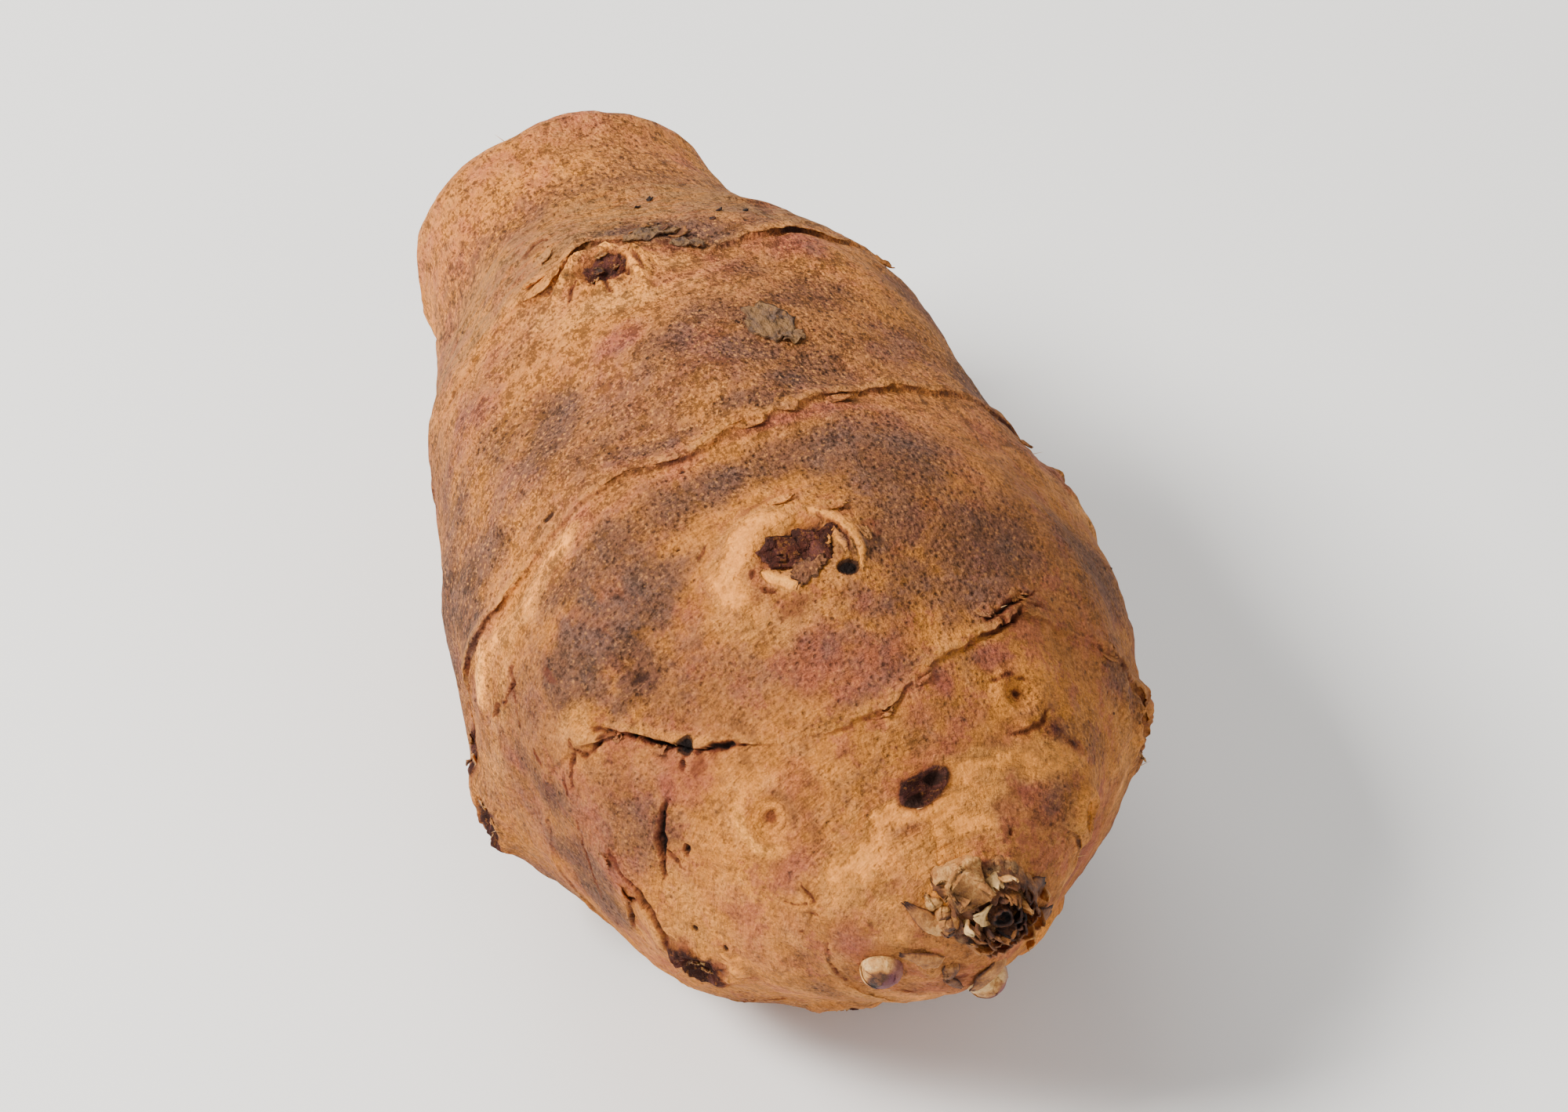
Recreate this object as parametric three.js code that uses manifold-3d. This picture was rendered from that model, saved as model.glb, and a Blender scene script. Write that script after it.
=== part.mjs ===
// A Jerusalem artichoke tuber lying on its side: a swollen underground stem that grew as one piece.
// Millimetres, +Z up. +X runs from the broken stem end to the growing tip.
// A place on the skin is (along, around): millimetres along the skin from the stem rim towards the tip,
// and degrees round the body, 0 on top, +90 on the +Y side, 180 underneath.

import * as THREE from "three";
import { mergeVertices } from "three/addons/utils/BufferGeometryUtils.js";
import Module from "manifold-3d";

// ---- Body ----

// The body's run from stem rim to tip: x, radius, sideways shift, lift of the section's centre.
const stations = [
  [-41.0, 12.2, 0.4, 1.9],
  [-35.0, 12.8, 0.2, 1.7],
  [-29.0, 14.8, 0.4, 1.8],
  [-21.5, 19.0, 0.8, 1.4],
  [-12.0, 21.9, 0.8, 0.4],
  [-1.5, 24.3, -0.2, -0.2],
  [9.0, 24.5, -0.8, 0.1],
  [19.5, 22.6, 0.2, 0.5],
  [28.5, 18.6, 0.2, 1.2],
  [35.5, 12.2, 0.0, 2.3],
  [40.5, 6.6, 0.6, 3.4],
  [42.6, 0.0, 0.8, 4.2],
];
const flattening = 0.93; // a section's height over its width
const frameShift = [-1.6, 0.2, 22.3]; // puts the origin under the middle of the part, on its resting spot

// Slow unevenness of the whole body: size, and waves per millimetre along x, y and z.
const unevenness = [
  [0.34, 0.23, 0.19, 0.11, 0.4],
  [0.26, -0.16, 0.31, 0.27, 2.1],
  [0.18, 0.42, -0.25, 0.38, 4.4],
  [0.12, -0.31, 0.55, -0.22, 1.1],
];

// Broad swellings and hollows: place, height, reach.
const swellings = [
  { along: 42.0, around: -92, height: -1.6, reach: 6.5 },
  { along: 63.0, around: -112, height: -1.0, reach: 8 },
  { along: 34.0, around: -18, height: 0.6, reach: 8 },
  { along: 3.0, around: -16, height: 1.3, reach: 9 },
  { along: 81.0, around: -122, height: 0.8, reach: 6 },
  { along: 56.0, around: -52, height: 0.7, reach: 7 },
  { along: 66.0, around: 12, height: -0.4, reach: 5 },
  { along: 79.0, around: 60, height: 0.7, reach: 6 },
  { along: 38.0, around: 75, height: -0.9, reach: 8 },
  { along: 79.0, around: 96, height: -0.8, reach: 6 },
  { along: 36.0, around: 130, height: 0.8, reach: 9 },
  { along: 33.0, around: -140, height: 0.7, reach: 9 },
  { along: 56.0, around: 168, height: -1.0, reach: 9 },
  { along: 39.0, around: -172, height: 0.4, reach: 8 },
];

// ---- Scars of the scale leaves: rings round the body, each a lip over a groove ----

// A path is a list of around, along, strength of the scar there.
const leafScars = [
  {
    lip: 0.45, groove: 0.15, lipWidth: 2.0,
    path: [[-170, 14, 0.7], [-110, 14.5, 0.8], [-75, 15, 1], [-50, 16, 1], [-26, 13, 1], [2, 12.6, 1],
      [28, 15.2, 1], [60, 17, 0.9], [110, 15.5, 0.8], [150, 14.5, 0.7]],
  },
  {
    lip: 0.5, groove: 0.4, lipWidth: 1.2,
    path: [[-165, 23, 0.5], [-110, 24, 0.4], [-70, 24, 0.3], [-36, 22.3, 0.9], [-22, 21.8, 1], [-7, 21.8, 1],
      [3, 22.4, 1], [18, 25, 0.8], [40, 24, 0.8], [80, 23.5, 0.7], [130, 22.5, 0.6]],
  },
  {
    lip: 0.55, groove: 0.4, lipWidth: 1.3,
    path: [[-150, 47.6, 0.7], [-112, 46, 0.8], [-84, 44.6, 1], [-64, 47.8, 1], [-50, 46.8, 1], [-28, 46.2, 1],
      [-10, 47.7, 1], [12, 46.6, 1], [45, 45.5, 0.9], [80, 46.8, 1], [130, 45.6, 0.8], [175, 47, 0.3]],
  },
  {
    lip: 0.5, groove: 0.45, lipWidth: 1.2,
    path: [[-150, 62, 0.6], [-112, 59, 0.8], [-82, 58.6, 0.7], [-61, 62.6, 1], [-49, 68.8, 1], [-40, 71.5, 1],
      [-26, 74.4, 1], [-8, 74.9, 1], [8, 72.2, 1], [26, 70.4, 1], [48, 69, 0.9], [66, 69, 0.9],
      [98, 67.6, 1], [140, 66, 0.7], [178, 64.6, 0.3]],
  },
  {
    lip: 0.35, groove: 0.3, lipWidth: 0.9,
    path: [[-160, 86.6, 0.7], [-121, 85.8, 1], [-100, 85.2, 1], [-80, 85.2, 1], [-45, 86.2, 0.5], [-5, 87.4, 0.3],
      [35, 86.4, 0.6], [75, 85.4, 1], [120, 86, 0.9], [165, 87, 0.7]],
  },
];

// ---- Eyes: mounds with a raised collar round a sunken scar ----

// wide and long are half sizes round and along the body, rise is the mound, collar its rim, pit the hollow.
const eyes = [
  { along: 24.9, around: -15, wide: 4.4, long: 3.4, rise: 0.7, collar: 0.45, pit: 1.0 },
  { along: 60.4, around: -8, wide: 6.2, long: 5.2, rise: 1.5, collar: 0.6, pit: 1.0 },
  { along: 77.1, around: -49, wide: 3.0, long: 3.0, rise: 0.3, collar: 0.4, pit: 0.5 },
  { along: 75.9, around: 29, wide: 2.6, long: 2.6, rise: 0.3, collar: 0.35, pit: 0.5 },
  { along: 82.3, around: -7, wide: 3.0, long: 2.5, rise: 0.1, collar: 0.15, pit: 1.3 },
  { along: 74.0, around: -112, wide: 3.6, long: 3.2, rise: 0.5, collar: 0.4, pit: 0.9 },
  { along: 50.6, around: -110, wide: 4.4, long: 3.6, rise: 1.5, collar: 0.4, pit: 0.8 },
  { along: 69.6, around: 90, wide: 4.6, long: 4.0, rise: 1.1, collar: 0.5, pit: 0.8 },
  { along: 50.0, around: 77, wide: 5.0, long: 4.2, rise: 0.8, collar: 0.5, pit: 0.9 },
  { along: 26.0, around: 164, wide: 4.2, long: 3.4, rise: 0.7, collar: 0.4, pit: 0.8 },
  { along: 62.0, around: 146, wide: 4.4, long: 4.0, rise: 1.0, collar: 0.45, pit: 0.8 },
  { along: 77.5, around: 142, wide: 3.2, long: 3.0, rise: 0.6, collar: 0.4, pit: 0.6 },
  { along: 77.0, around: -158, wide: 3.2, long: 3.0, rise: 0.6, collar: 0.4, pit: 0.7 },
  { along: 83.0, around: 72, wide: 2.6, long: 2.4, rise: 0.4, collar: 0.35, pit: 0.6 },
  { along: 36.0, around: 84, wide: 2.4, long: 2.2, rise: 0.3, collar: 0.25, pit: 0.4 },
];

// ---- Growing tip: plump buds, and a crown of dried scale leaves round the broken shoot ----

const buds = [
  { along: 88.9, around: -109, radius: 1.6, length: 3.4, lean: 20 },
  { along: 90.6, around: -168, radius: 1.7, length: 4.2, lean: 35 },
  { along: 88.6, around: 62, radius: 1.4, length: 3.2, lean: 35 },
  { along: 82.6, around: 118, radius: 1.3, length: 3.0, lean: 30 },
];
const budSides = 12;

const crown = { along: 94.9, around: 23, radius: 3.5, hollow: 0.9 };

// Each scale: turn round the crown, distance from its middle, width, height over the skin, lean outwards.
const crownScales = [
  [10, 3.5, 3.2, 1.6, 20],
  [52, 3.7, 3.4, 2.2, 8],
  [96, 3.4, 3.0, 1.4, 30],
  [140, 3.6, 3.6, 1.9, 5],
  [185, 3.4, 3.2, 2.4, -8],
  [228, 3.7, 3.0, 1.3, 35],
  [270, 3.5, 3.6, 2.3, 0],
  [318, 3.6, 3.2, 1.8, 15],
  [30, 1.9, 2.6, 2.6, -12],
  [115, 1.7, 2.4, 2.9, -20],
  [205, 1.9, 2.8, 2.2, -5],
  [290, 1.6, 2.4, 2.7, -15],
];
const scaleThickness = 0.7;
const scaleSunk = 1.4;

// ---- Stem end: the flat face where the tuber was broken off its root ----

const stemRimDrop = 0.5; // how far the skin turns in at the rim
const stemDish = 1.3; // how far the middle of the face is sunk
const stemLedge = { height: 1.1, across: 1.5, softness: 1.8 }; // a torn step over the face
const stemTears = [[0.5, 2, -1.2], [0.3, 5, 4.2], [0.2, 9, 4.0]]; // unevenness of the rim: size, waves round it, phase
const tearReach = 4; // how far along the skin the unevenness fades out

// ---- How fine the body is ----

const columns = 32;
const scarRows = [-1.8, -0.7, 0, 0.7, 2.0]; // rows beside each scar, in mm along
const rimRows = [0.4, 1.2];
const rowSpacing = 2.8;
const faceRows = [0.3, 0.6, 0.85]; // rows across the stem face, as shares of its radius
const edges = { plain: 4.2, eye: 1.5, crown: 1.3 }; // longest edge allowed on plain skin and on detail

// ---- Helpers ----

const radians = (degrees) => (degrees * Math.PI) / 180;
const bump = (x, width) => Math.exp(-((x / width) ** 2));
const smoothstep = (x, from, to) => {
  const t = Math.min(1, Math.max(0, (x - from) / (to - from)));
  return t * t * (3 - 2 * t);
};

// The smooth curve through the stations, at a place counted in stations. The outline is mirrored at the tip.
function stationAt(place) {
  const last = stations.length - 1;
  const i = Math.min(Math.floor(place), last - 1);
  const u = place - i;
  const at = (k, column) => {
    if (k < 0) return 2 * stations[0][column] - stations[1][column];
    if (k > last) return stations[last - 1][column] * (column === 1 ? -1 : 1);
    return stations[k][column];
  };
  return stations[0].map((_, column) => {
    const [a, b, c, d] = [i - 1, i, i + 1, i + 2].map((k) => at(k, column));
    return 0.5 * (2 * b + (c - a) * u + (2 * a - 5 * b + 4 * c - d) * u * u + (3 * b - a - 3 * c + d) * u ** 3);
  });
}

// Length of the skin from the stem rim to each of many places along it.
const measured = [];
const measureSteps = 100 * (stations.length - 1);
for (let k = 0, run = 0, before = null; k <= measureSteps; k++) {
  const place = k / 100;
  const [x, radius] = stationAt(place);
  if (before) run += Math.hypot(x - before[0], radius - before[1]);
  measured.push([run, place]);
  before = [x, radius];
}
const skinLength = measured[measured.length - 1][0];

function sectionAt(along) {
  const wanted = Math.min(skinLength, Math.max(0, along));
  let low = 0;
  let high = measured.length - 1;
  while (high - low > 1) {
    const middle = (low + high) >> 1;
    if (measured[middle][0] <= wanted) low = middle;
    else high = middle;
  }
  const [[runA, placeA], [runB, placeB]] = [measured[low], measured[high]];
  return stationAt(placeA + ((wanted - runA) / (runB - runA)) * (placeB - placeA));
}

// The smooth body's point and outward direction at (along, around in radians).
function bodyAt(along, angle) {
  const [x, radius, shift, lift] = sectionAt(along);
  const [xBefore, radiusBefore] = sectionAt(along - 0.25);
  const [xAfter, radiusAfter] = sectionAt(along + 0.25);
  const forward = xAfter - xBefore;
  const outward = radiusAfter - radiusBefore;
  return {
    point: new THREE.Vector3(x, shift + radius * Math.sin(angle), lift + flattening * radius * Math.cos(angle)),
    normal: new THREE.Vector3(-outward, forward * Math.sin(angle), forward * Math.cos(angle)).normalize(),
  };
}

// A place's point, outward direction, direction along the skin and direction round the body.
function placeOnSkin(along, around) {
  const { point, normal } = bodyAt(along, radians(around));
  const along1 = bodyAt(along + 0.5, radians(around)).point.sub(bodyAt(along - 0.5, radians(around)).point);
  const forward = along1.addScaledVector(normal, -along1.dot(normal)).normalize();
  return { point, normal, forward, sideways: new THREE.Vector3().crossVectors(normal, forward) };
}

// A scar's path at an angle: along and strength, by a smooth closed curve through its points.
function pathAt(path, angle) {
  const count = path.length;
  const around = THREE.MathUtils.euclideanModulo((angle * 180) / Math.PI - path[0][0], 360) + path[0][0];
  const at = (k) => {
    const turn = Math.floor(k / count);
    const [a, along, strength] = path[k - turn * count];
    return [a + 360 * turn, along, strength];
  };
  let i = 0;
  while (i < count - 1 && at(i + 1)[0] <= around) i++;
  const [before, from, to, after] = [at(i - 1), at(i), at(i + 1), at(i + 2)];
  const span = to[0] - from[0];
  const u = (around - from[0]) / span;
  return [1, 2].map((column) => {
    const slopeFrom = ((to[column] - before[column]) / (to[0] - before[0])) * span;
    const slopeTo = ((after[column] - from[column]) / (after[0] - from[0])) * span;
    return (2 * u ** 3 - 3 * u ** 2 + 1) * from[column] + (u ** 3 - 2 * u ** 2 + u) * slopeFrom +
      (3 * u ** 2 - 2 * u ** 3) * to[column] + (u ** 3 - u ** 2) * slopeTo;
  });
}

// ---- Relief of the skin ----

const slowWaves = (p) => unevenness.reduce(
  (sum, [size, kx, ky, kz, phase]) => sum + size * Math.sin(kx * p.x + ky * p.y + kz * p.z + phase), 0);

const placedSwellings = swellings.map((s) => ({ ...s, ...placeOnSkin(s.along, s.around) }));
const swellingHeight = (p) => placedSwellings.reduce(
  (sum, s) => sum + s.height * bump(p.distanceTo(s.point), s.reach), 0);

function scarHeight(along, angle) {
  let sum = 0;
  for (const { lip, groove, lipWidth, path } of leafScars) {
    const [scarAlong, strength] = pathAt(path, angle);
    const past = along - scarAlong;
    sum += strength * lip * (past < 0 ? bump(past, lipWidth) : bump(past, 0.35 * lipWidth));
    sum -= strength * groove * bump(past - 0.6 * lipWidth, 0.5 * lipWidth);
  }
  return sum;
}

const placedEyes = eyes.map((e) => ({ ...e, ...placeOnSkin(e.along, e.around) }));
function eyeHeight(p) {
  let sum = 0;
  for (const e of placedEyes) {
    const away = p.clone().sub(e.point);
    if (away.length() > 2.4 * e.wide) continue;
    const q = Math.hypot(away.dot(e.sideways) / e.wide, away.dot(e.forward) / e.long);
    sum += e.rise * bump(q, 1) + e.collar * bump(q - 0.66, 0.2) - (e.pit + 0.4 * e.rise) * (1 - smoothstep(q, 0.1, 0.6));
  }
  return sum;
}

const placedCrown = { ...crown, ...placeOnSkin(crown.along, crown.around) };
function crownHeight(p) {
  const q = p.distanceTo(placedCrown.point) / crown.radius;
  return 0.5 * bump(q - 1, 0.35) - crown.hollow * (1 - smoothstep(q, 0.2, 0.9));
}

function skinPoint(along, angle) {
  const { point, normal } = bodyAt(along, angle);
  const rim = 1 - smoothstep(along, 0, tearReach);
  const tear = stemTears.reduce((sum, [size, waves, phase]) => sum + size * Math.sin(waves * angle + phase), 0);
  const height = slowWaves(point) + swellingHeight(point) + scarHeight(along, angle) + eyeHeight(point) +
    crownHeight(point) - stemRimDrop * (1 - smoothstep(along, 0, 1.2));
  point.addScaledVector(normal, height);
  point.x += tear * rim;
  return point;
}

// The broken face closes the rim: sunk in the middle, with a torn ledge across it.
function facePoint(share, angle) {
  const [x, , shift, lift] = sectionAt(0);
  const middle = new THREE.Vector3(x, shift, lift);
  const point = middle.clone().lerp(skinPoint(0, angle), share);
  const { height, across, softness } = stemLedge;
  const ledge = height * smoothstep(point.z - lift + across, -softness, softness);
  const dish = stemDish * (1 - share * share);
  point.x += dish + (1 - share ** 4) * (0.3 * height - ledge);
  return point;
}

// ---- Building the body ----

// Nominal rows along the skin, close beside every scar and evenly spaced between them.
const meanAlong = ({ path }) => path.reduce((sum, [, along]) => sum + along, 0) / path.length;
const scarMeans = leafScars.map(meanAlong);

function nominalRows() {
  const fixed = scarMeans.flatMap((mean) => scarRows.map((offset) => mean + offset));
  const anchors = [0, ...rimRows, ...fixed, skinLength];
  const rows = [];
  for (let k = 0; k < anchors.length - 1; k++) {
    const gap = anchors[k + 1] - anchors[k];
    const parts = Math.max(1, Math.round(gap / rowSpacing));
    for (let part = 0; part < parts; part++) rows.push(anchors[k] + (gap * part) / parts);
  }
  return rows;
}

// Rows bend with the scars, so that each scar runs along an edge of the mesh.
function bentRow(nominal, angle) {
  const anchors = [0, ...scarMeans, skinLength];
  const k = Math.min(anchors.length - 2, anchors.findLastIndex((a) => a <= nominal));
  const moved = (j) => (j === 0 || j === anchors.length - 1 ? anchors[j] : pathAt(leafScars[j - 1].path, angle)[0]);
  const share = (nominal - anchors[k]) / (anchors[k + 1] - anchors[k]);
  return nominal + (moved(k) - anchors[k]) * (1 - share) + (moved(k + 1) - anchors[k + 1]) * share;
}

function longestEdgeAt(p) {
  if (p.distanceTo(placedCrown.point) < 1.4 * crown.radius) return edges.crown;
  const onEye = placedEyes.some((e) => p.distanceTo(e.point) < e.wide);
  return onEye ? edges.eye : edges.plain;
}

// The middle of an edge if the edge is too long there. The rim, the stem face and the tip stay whole.
function edgeMiddle(a, b) {
  if (a.nominal === undefined || b.nominal === undefined || a.nominal + b.nominal === 0) return null;
  const turn = THREE.MathUtils.euclideanModulo(b.angle - a.angle + Math.PI, 2 * Math.PI) - Math.PI;
  const nominal = (a.nominal + b.nominal) / 2;
  const angle = a.angle + turn / 2;
  const point = skinPoint(bentRow(nominal, angle), angle);
  return a.point.distanceTo(b.point) > longestEdgeAt(point) ? { nominal, angle, point } : null;
}

// Halves every edge that is too long, once, and divides the triangles beside it to match.
function divided(corners, triangles) {
  const middles = new Map();
  const middleOf = (a, b) => {
    const key = a < b ? `${a} ${b}` : `${b} ${a}`;
    if (!middles.has(key)) {
      const middle = edgeMiddle(corners[Math.min(a, b)], corners[Math.max(a, b)]);
      middles.set(key, middle ? corners.push(middle) - 1 : -1);
    }
    return middles.get(key);
  };
  return triangles.flatMap(([a, b, c]) => {
    const [ab, bc, ca] = [middleOf(a, b), middleOf(b, c), middleOf(c, a)];
    const split = [ab, bc, ca].filter((m) => m >= 0).length;
    if (split === 0) return [[a, b, c]];
    if (split === 3) return [[a, ab, ca], [ab, b, bc], [ca, bc, c], [ab, bc, ca]];
    if (split === 1) {
      if (ab >= 0) return [[a, ab, c], [ab, b, c]];
      if (bc >= 0) return [[a, b, bc], [a, bc, c]];
      return [[a, b, ca], [ca, b, c]];
    }
    if (ab < 0) return [[c, ca, bc], [ca, a, bc], [a, b, bc]];
    if (bc < 0) return [[a, ab, ca], [ab, b, ca], [b, c, ca]];
    return [[b, bc, ab], [bc, c, ab], [c, a, ab]];
  });
}

function bodyGeometry() {
  const rings = [
    ...faceRows.map((share) => (angle) => ({ point: facePoint(share, angle) })),
    ...nominalRows().map((nominal) => (angle) => ({ nominal, angle, point: skinPoint(bentRow(nominal, angle), angle) })),
  ];
  const corners = [{ point: facePoint(0, 0) }];
  for (const ring of rings)
    for (let c = 0; c < columns; c++) corners.push(ring((2 * Math.PI * c) / columns));
  corners.push({ point: skinPoint(skinLength, 0) });
  const tip = corners.length - 1;
  let triangles = [];
  const at = (ring, c) => 1 + ring * columns + (c % columns);
  for (let c = 0; c < columns; c++) {
    triangles.push([0, at(0, c), at(0, c + 1)]);
    for (let ring = 0; ring < rings.length - 1; ring++) {
      triangles.push([at(ring, c), at(ring + 1, c), at(ring, c + 1)]);
      triangles.push([at(ring, c + 1), at(ring + 1, c), at(ring + 1, c + 1)]);
    }
    triangles.push([at(rings.length - 1, c + 1), at(rings.length - 1, c), tip]);
  }
  for (let pass = 0; pass < 3; pass++) triangles = divided(corners, triangles);
  const geometry = new THREE.BufferGeometry().setFromPoints(corners.map(({ point }) => point));
  geometry.setIndex(triangles.flat());
  return geometry;
}

// ---- Buds and scales ----

// A plump pointed bud standing along +Y, its lower third sunk in the skin.
function budGeometry({ radius, length }) {
  const outline = [[0, -0.45], [0.62, -0.34], [0.94, -0.1], [1, 0.14], [0.84, 0.36], [0.5, 0.52], [0, 0.62]];
  return new THREE.LatheGeometry(outline.map(([r, y]) => new THREE.Vector2(r * radius, y * length)), budSides);
}

// A dried scale leaf standing along +Y: cupped across its width, narrowed to its torn top and curled inwards.
function scaleGeometry(width, height) {
  const geometry = new THREE.BoxGeometry(width, height, scaleThickness, 4, 3, 1);
  const position = geometry.getAttribute("position");
  for (let k = 0; k < position.count; k++) {
    const up = position.getY(k) / height + 0.5;
    const across = position.getX(k) / (0.5 * width);
    const narrow = 1 - 0.5 * up * up;
    position.setX(k, position.getX(k) * narrow);
    position.setY(k, position.getY(k) * (1 + 0.12 * Math.sin(5 * across) * up));
    position.setZ(k, position.getZ(k) * (1 - 0.3 * up) - 0.25 * width * across * across * narrow - 0.4 * up * up);
  }
  return geometry;
}

const wasm = await Module();
wasm.setup();

function solidOf(geometry, matrix = new THREE.Matrix4()) {
  const bare = (geometry.index ? geometry.toNonIndexed() : geometry.clone()).applyMatrix4(matrix);
  bare.deleteAttribute("normal");
  bare.deleteAttribute("uv");
  const merged = mergeVertices(bare, 1e-4);
  return new wasm.Manifold(new wasm.Mesh({
    numProp: 3,
    vertProperties: merged.getAttribute("position").array,
    triVerts: new Uint32Array(merged.index.array),
  }));
}

function geometryOf(solid) {
  const mesh = solid.getMesh();
  const geometry = new THREE.BufferGeometry();
  geometry.setAttribute("position", new THREE.BufferAttribute(Float32Array.from(mesh.vertProperties), 3));
  geometry.setIndex(new THREE.BufferAttribute(Uint32Array.from(mesh.triVerts), 1));
  geometry.computeVertexNormals();
  return geometry;
}

// A matrix that stands a shape's +Y along a direction at a point, its +Z facing a second direction.
function standing(point, up, facing) {
  const side = new THREE.Vector3().crossVectors(up, facing).normalize();
  const front = new THREE.Vector3().crossVectors(side, up);
  return new THREE.Matrix4().makeBasis(side, up, front).setPosition(point);
}

function budSolids() {
  return buds.map((bud) => {
    const { point, normal, sideways, forward } = placeOnSkin(bud.along, bud.around);
    const up = normal.clone().applyAxisAngle(sideways, radians(bud.lean)).normalize();
    return solidOf(budGeometry(bud), standing(point, up, forward));
  });
}

// Scales stand round the crown's middle, their feet sunk in the skin.
function scaleSolids() {
  const { point, normal, forward, sideways } = placedCrown;
  return crownScales.map(([turn, distance, width, height, lean]) => {
    const out = forward.clone().multiplyScalar(Math.cos(radians(turn)))
      .addScaledVector(sideways, Math.sin(radians(turn)));
    const up = normal.clone().addScaledVector(out, Math.tan(radians(lean))).normalize();
    const fallAway = (distance * distance) / 15; // the skin curves away from the crown's middle
    const middle = point.clone().addScaledVector(out, distance).addScaledVector(normal, -fallAway)
      .addScaledVector(up, (height - scaleSunk) / 2);
    return solidOf(scaleGeometry(width, height + scaleSunk), standing(middle, up, out));
  });
}

// ---- The tuber ----

const material = new THREE.MeshStandardMaterial({ color: 0xb98558, roughness: 0.8, metalness: 0 });

const grown = wasm.Manifold.union([solidOf(bodyGeometry()), ...budSolids(), ...scaleSolids()])
  .translate(frameShift);

// The skin is a little flat where the tuber rests.
const underfoot = new THREE.BoxGeometry(60, 60, 20).translate(0, 0, -10);
const tuber = new THREE.Mesh(geometryOf(grown.subtract(solidOf(underfoot))), material);
tuber.name = "tuber";

const artichoke = new THREE.Group();
artichoke.add(tuber);

export default artichoke;
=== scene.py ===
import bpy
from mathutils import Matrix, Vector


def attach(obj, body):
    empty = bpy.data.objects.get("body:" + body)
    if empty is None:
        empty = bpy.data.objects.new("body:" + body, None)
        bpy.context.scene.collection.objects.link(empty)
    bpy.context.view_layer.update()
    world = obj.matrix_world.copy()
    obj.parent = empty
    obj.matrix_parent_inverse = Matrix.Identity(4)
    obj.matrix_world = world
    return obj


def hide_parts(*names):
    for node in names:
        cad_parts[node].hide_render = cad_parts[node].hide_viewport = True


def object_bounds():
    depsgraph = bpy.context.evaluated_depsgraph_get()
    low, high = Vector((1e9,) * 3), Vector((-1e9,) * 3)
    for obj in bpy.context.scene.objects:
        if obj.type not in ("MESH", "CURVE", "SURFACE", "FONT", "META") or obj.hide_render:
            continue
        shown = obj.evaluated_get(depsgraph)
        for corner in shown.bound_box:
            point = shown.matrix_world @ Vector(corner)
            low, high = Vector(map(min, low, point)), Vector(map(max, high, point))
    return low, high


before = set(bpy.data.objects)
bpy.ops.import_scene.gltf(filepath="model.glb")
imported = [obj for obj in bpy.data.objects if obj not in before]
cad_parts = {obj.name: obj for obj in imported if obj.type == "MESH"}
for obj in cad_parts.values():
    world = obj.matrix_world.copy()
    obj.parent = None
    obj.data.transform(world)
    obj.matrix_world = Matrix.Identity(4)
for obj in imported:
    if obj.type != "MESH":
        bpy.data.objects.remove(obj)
sizeBefore = [[float(value) for value in corner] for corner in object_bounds()]

import math
import bpy
import numpy as np
from mathutils import Matrix, Vector, noise
from mathutils.bvhtree import BVHTree
from types import SimpleNamespace

print("frame loaded")

# Shapes are worked out in millimetres and scaled once, when a mesh is made.
mm = 0.001


def tint(red, green, blue):  # a colour as eyes name it, 0 to 255, made linear
    linear = [((c / 255 + 0.055) / 1.055) ** 2.4 if c > 10 else c / 3294.6 for c in (red, green, blue)]
    return (*linear, 1.0)


class Wire:  # one output of a node, usable in sums
    def __init__(self, graph, socket):
        self.graph = graph
        self.socket = socket

    def __add__(self, other):
        return self.graph.maths("ADD", self, other)

    def __radd__(self, other):
        return self.graph.maths("ADD", other, self)

    def __sub__(self, other):
        return self.graph.maths("SUBTRACT", self, other)

    def __rsub__(self, other):
        return self.graph.maths("SUBTRACT", other, self)

    def __mul__(self, other):
        return self.graph.maths("MULTIPLY", self, other)

    def __rmul__(self, other):
        return self.graph.maths("MULTIPLY", other, self)

    def sibling(self, index):  # another output of the same node
        return Wire(self.graph, self.socket.node.outputs[index])


class Graph:  # a shader or geometry tree under construction
    def __init__(self, tree):
        self.tree = tree
        self.tree.nodes.clear()

    def add(self, kind, settings=None, sockets=None, output=0):
        node = self.tree.nodes.new(kind)
        for name, value in (settings or {}).items():
            setattr(node, name, value)
        for name, value in (sockets or {}).items():
            if isinstance(value, Wire):
                self.tree.links.new(value.socket, node.inputs[name])
            else:
                node.inputs[name].default_value = value
        return Wire(self, node.outputs[output]) if len(node.outputs) else None

    def maths(self, operation, *values):
        return self.add("ShaderNodeMath", {"operation": operation}, dict(enumerate(values)))

    def vector(self, operation, *values):
        return self.add("ShaderNodeVectorMath", {"operation": operation}, dict(enumerate(values)))

    def scaled(self, vector, factor):
        return self.add("ShaderNodeVectorMath", {"operation": "SCALE"}, {0: vector, "Scale": factor})

    def joined(self, x, y, z):
        return self.add("ShaderNodeCombineXYZ", None, {0: x, 1: y, 2: z})

    def split(self, vector):
        x = self.add("ShaderNodeSeparateXYZ", None, {0: vector})
        return x, x.sibling(1), x.sibling(2)

    def most(self, *values):
        result = values[0]
        for value in values[1:]:
            result = self.maths("MAXIMUM", result, value)
        return result

    def cloud(self, place, scale, detail=3.0, roughness=0.55, distortion=0.0):
        return self.add("ShaderNodeTexNoise", None, {"Vector": place, "Scale": scale, "Detail": detail,
                                                     "Roughness": roughness, "Distortion": distortion})

    def cells(self, place, scale):  # distance from the nearest of many scattered dots
        return self.add("ShaderNodeTexVoronoi", None, {"Vector": place, "Scale": scale})

    def blended(self, below, above, amount, mode="MIX"):
        return self.add("ShaderNodeMix", {"data_type": "RGBA", "blend_type": mode},
                        {0: amount, 6: below, 7: above}, output=2)

    def field(self, name):  # a value painted on the mesh
        return self.add("ShaderNodeAttribute", {"attribute_name": name}, None, output=2)


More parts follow.
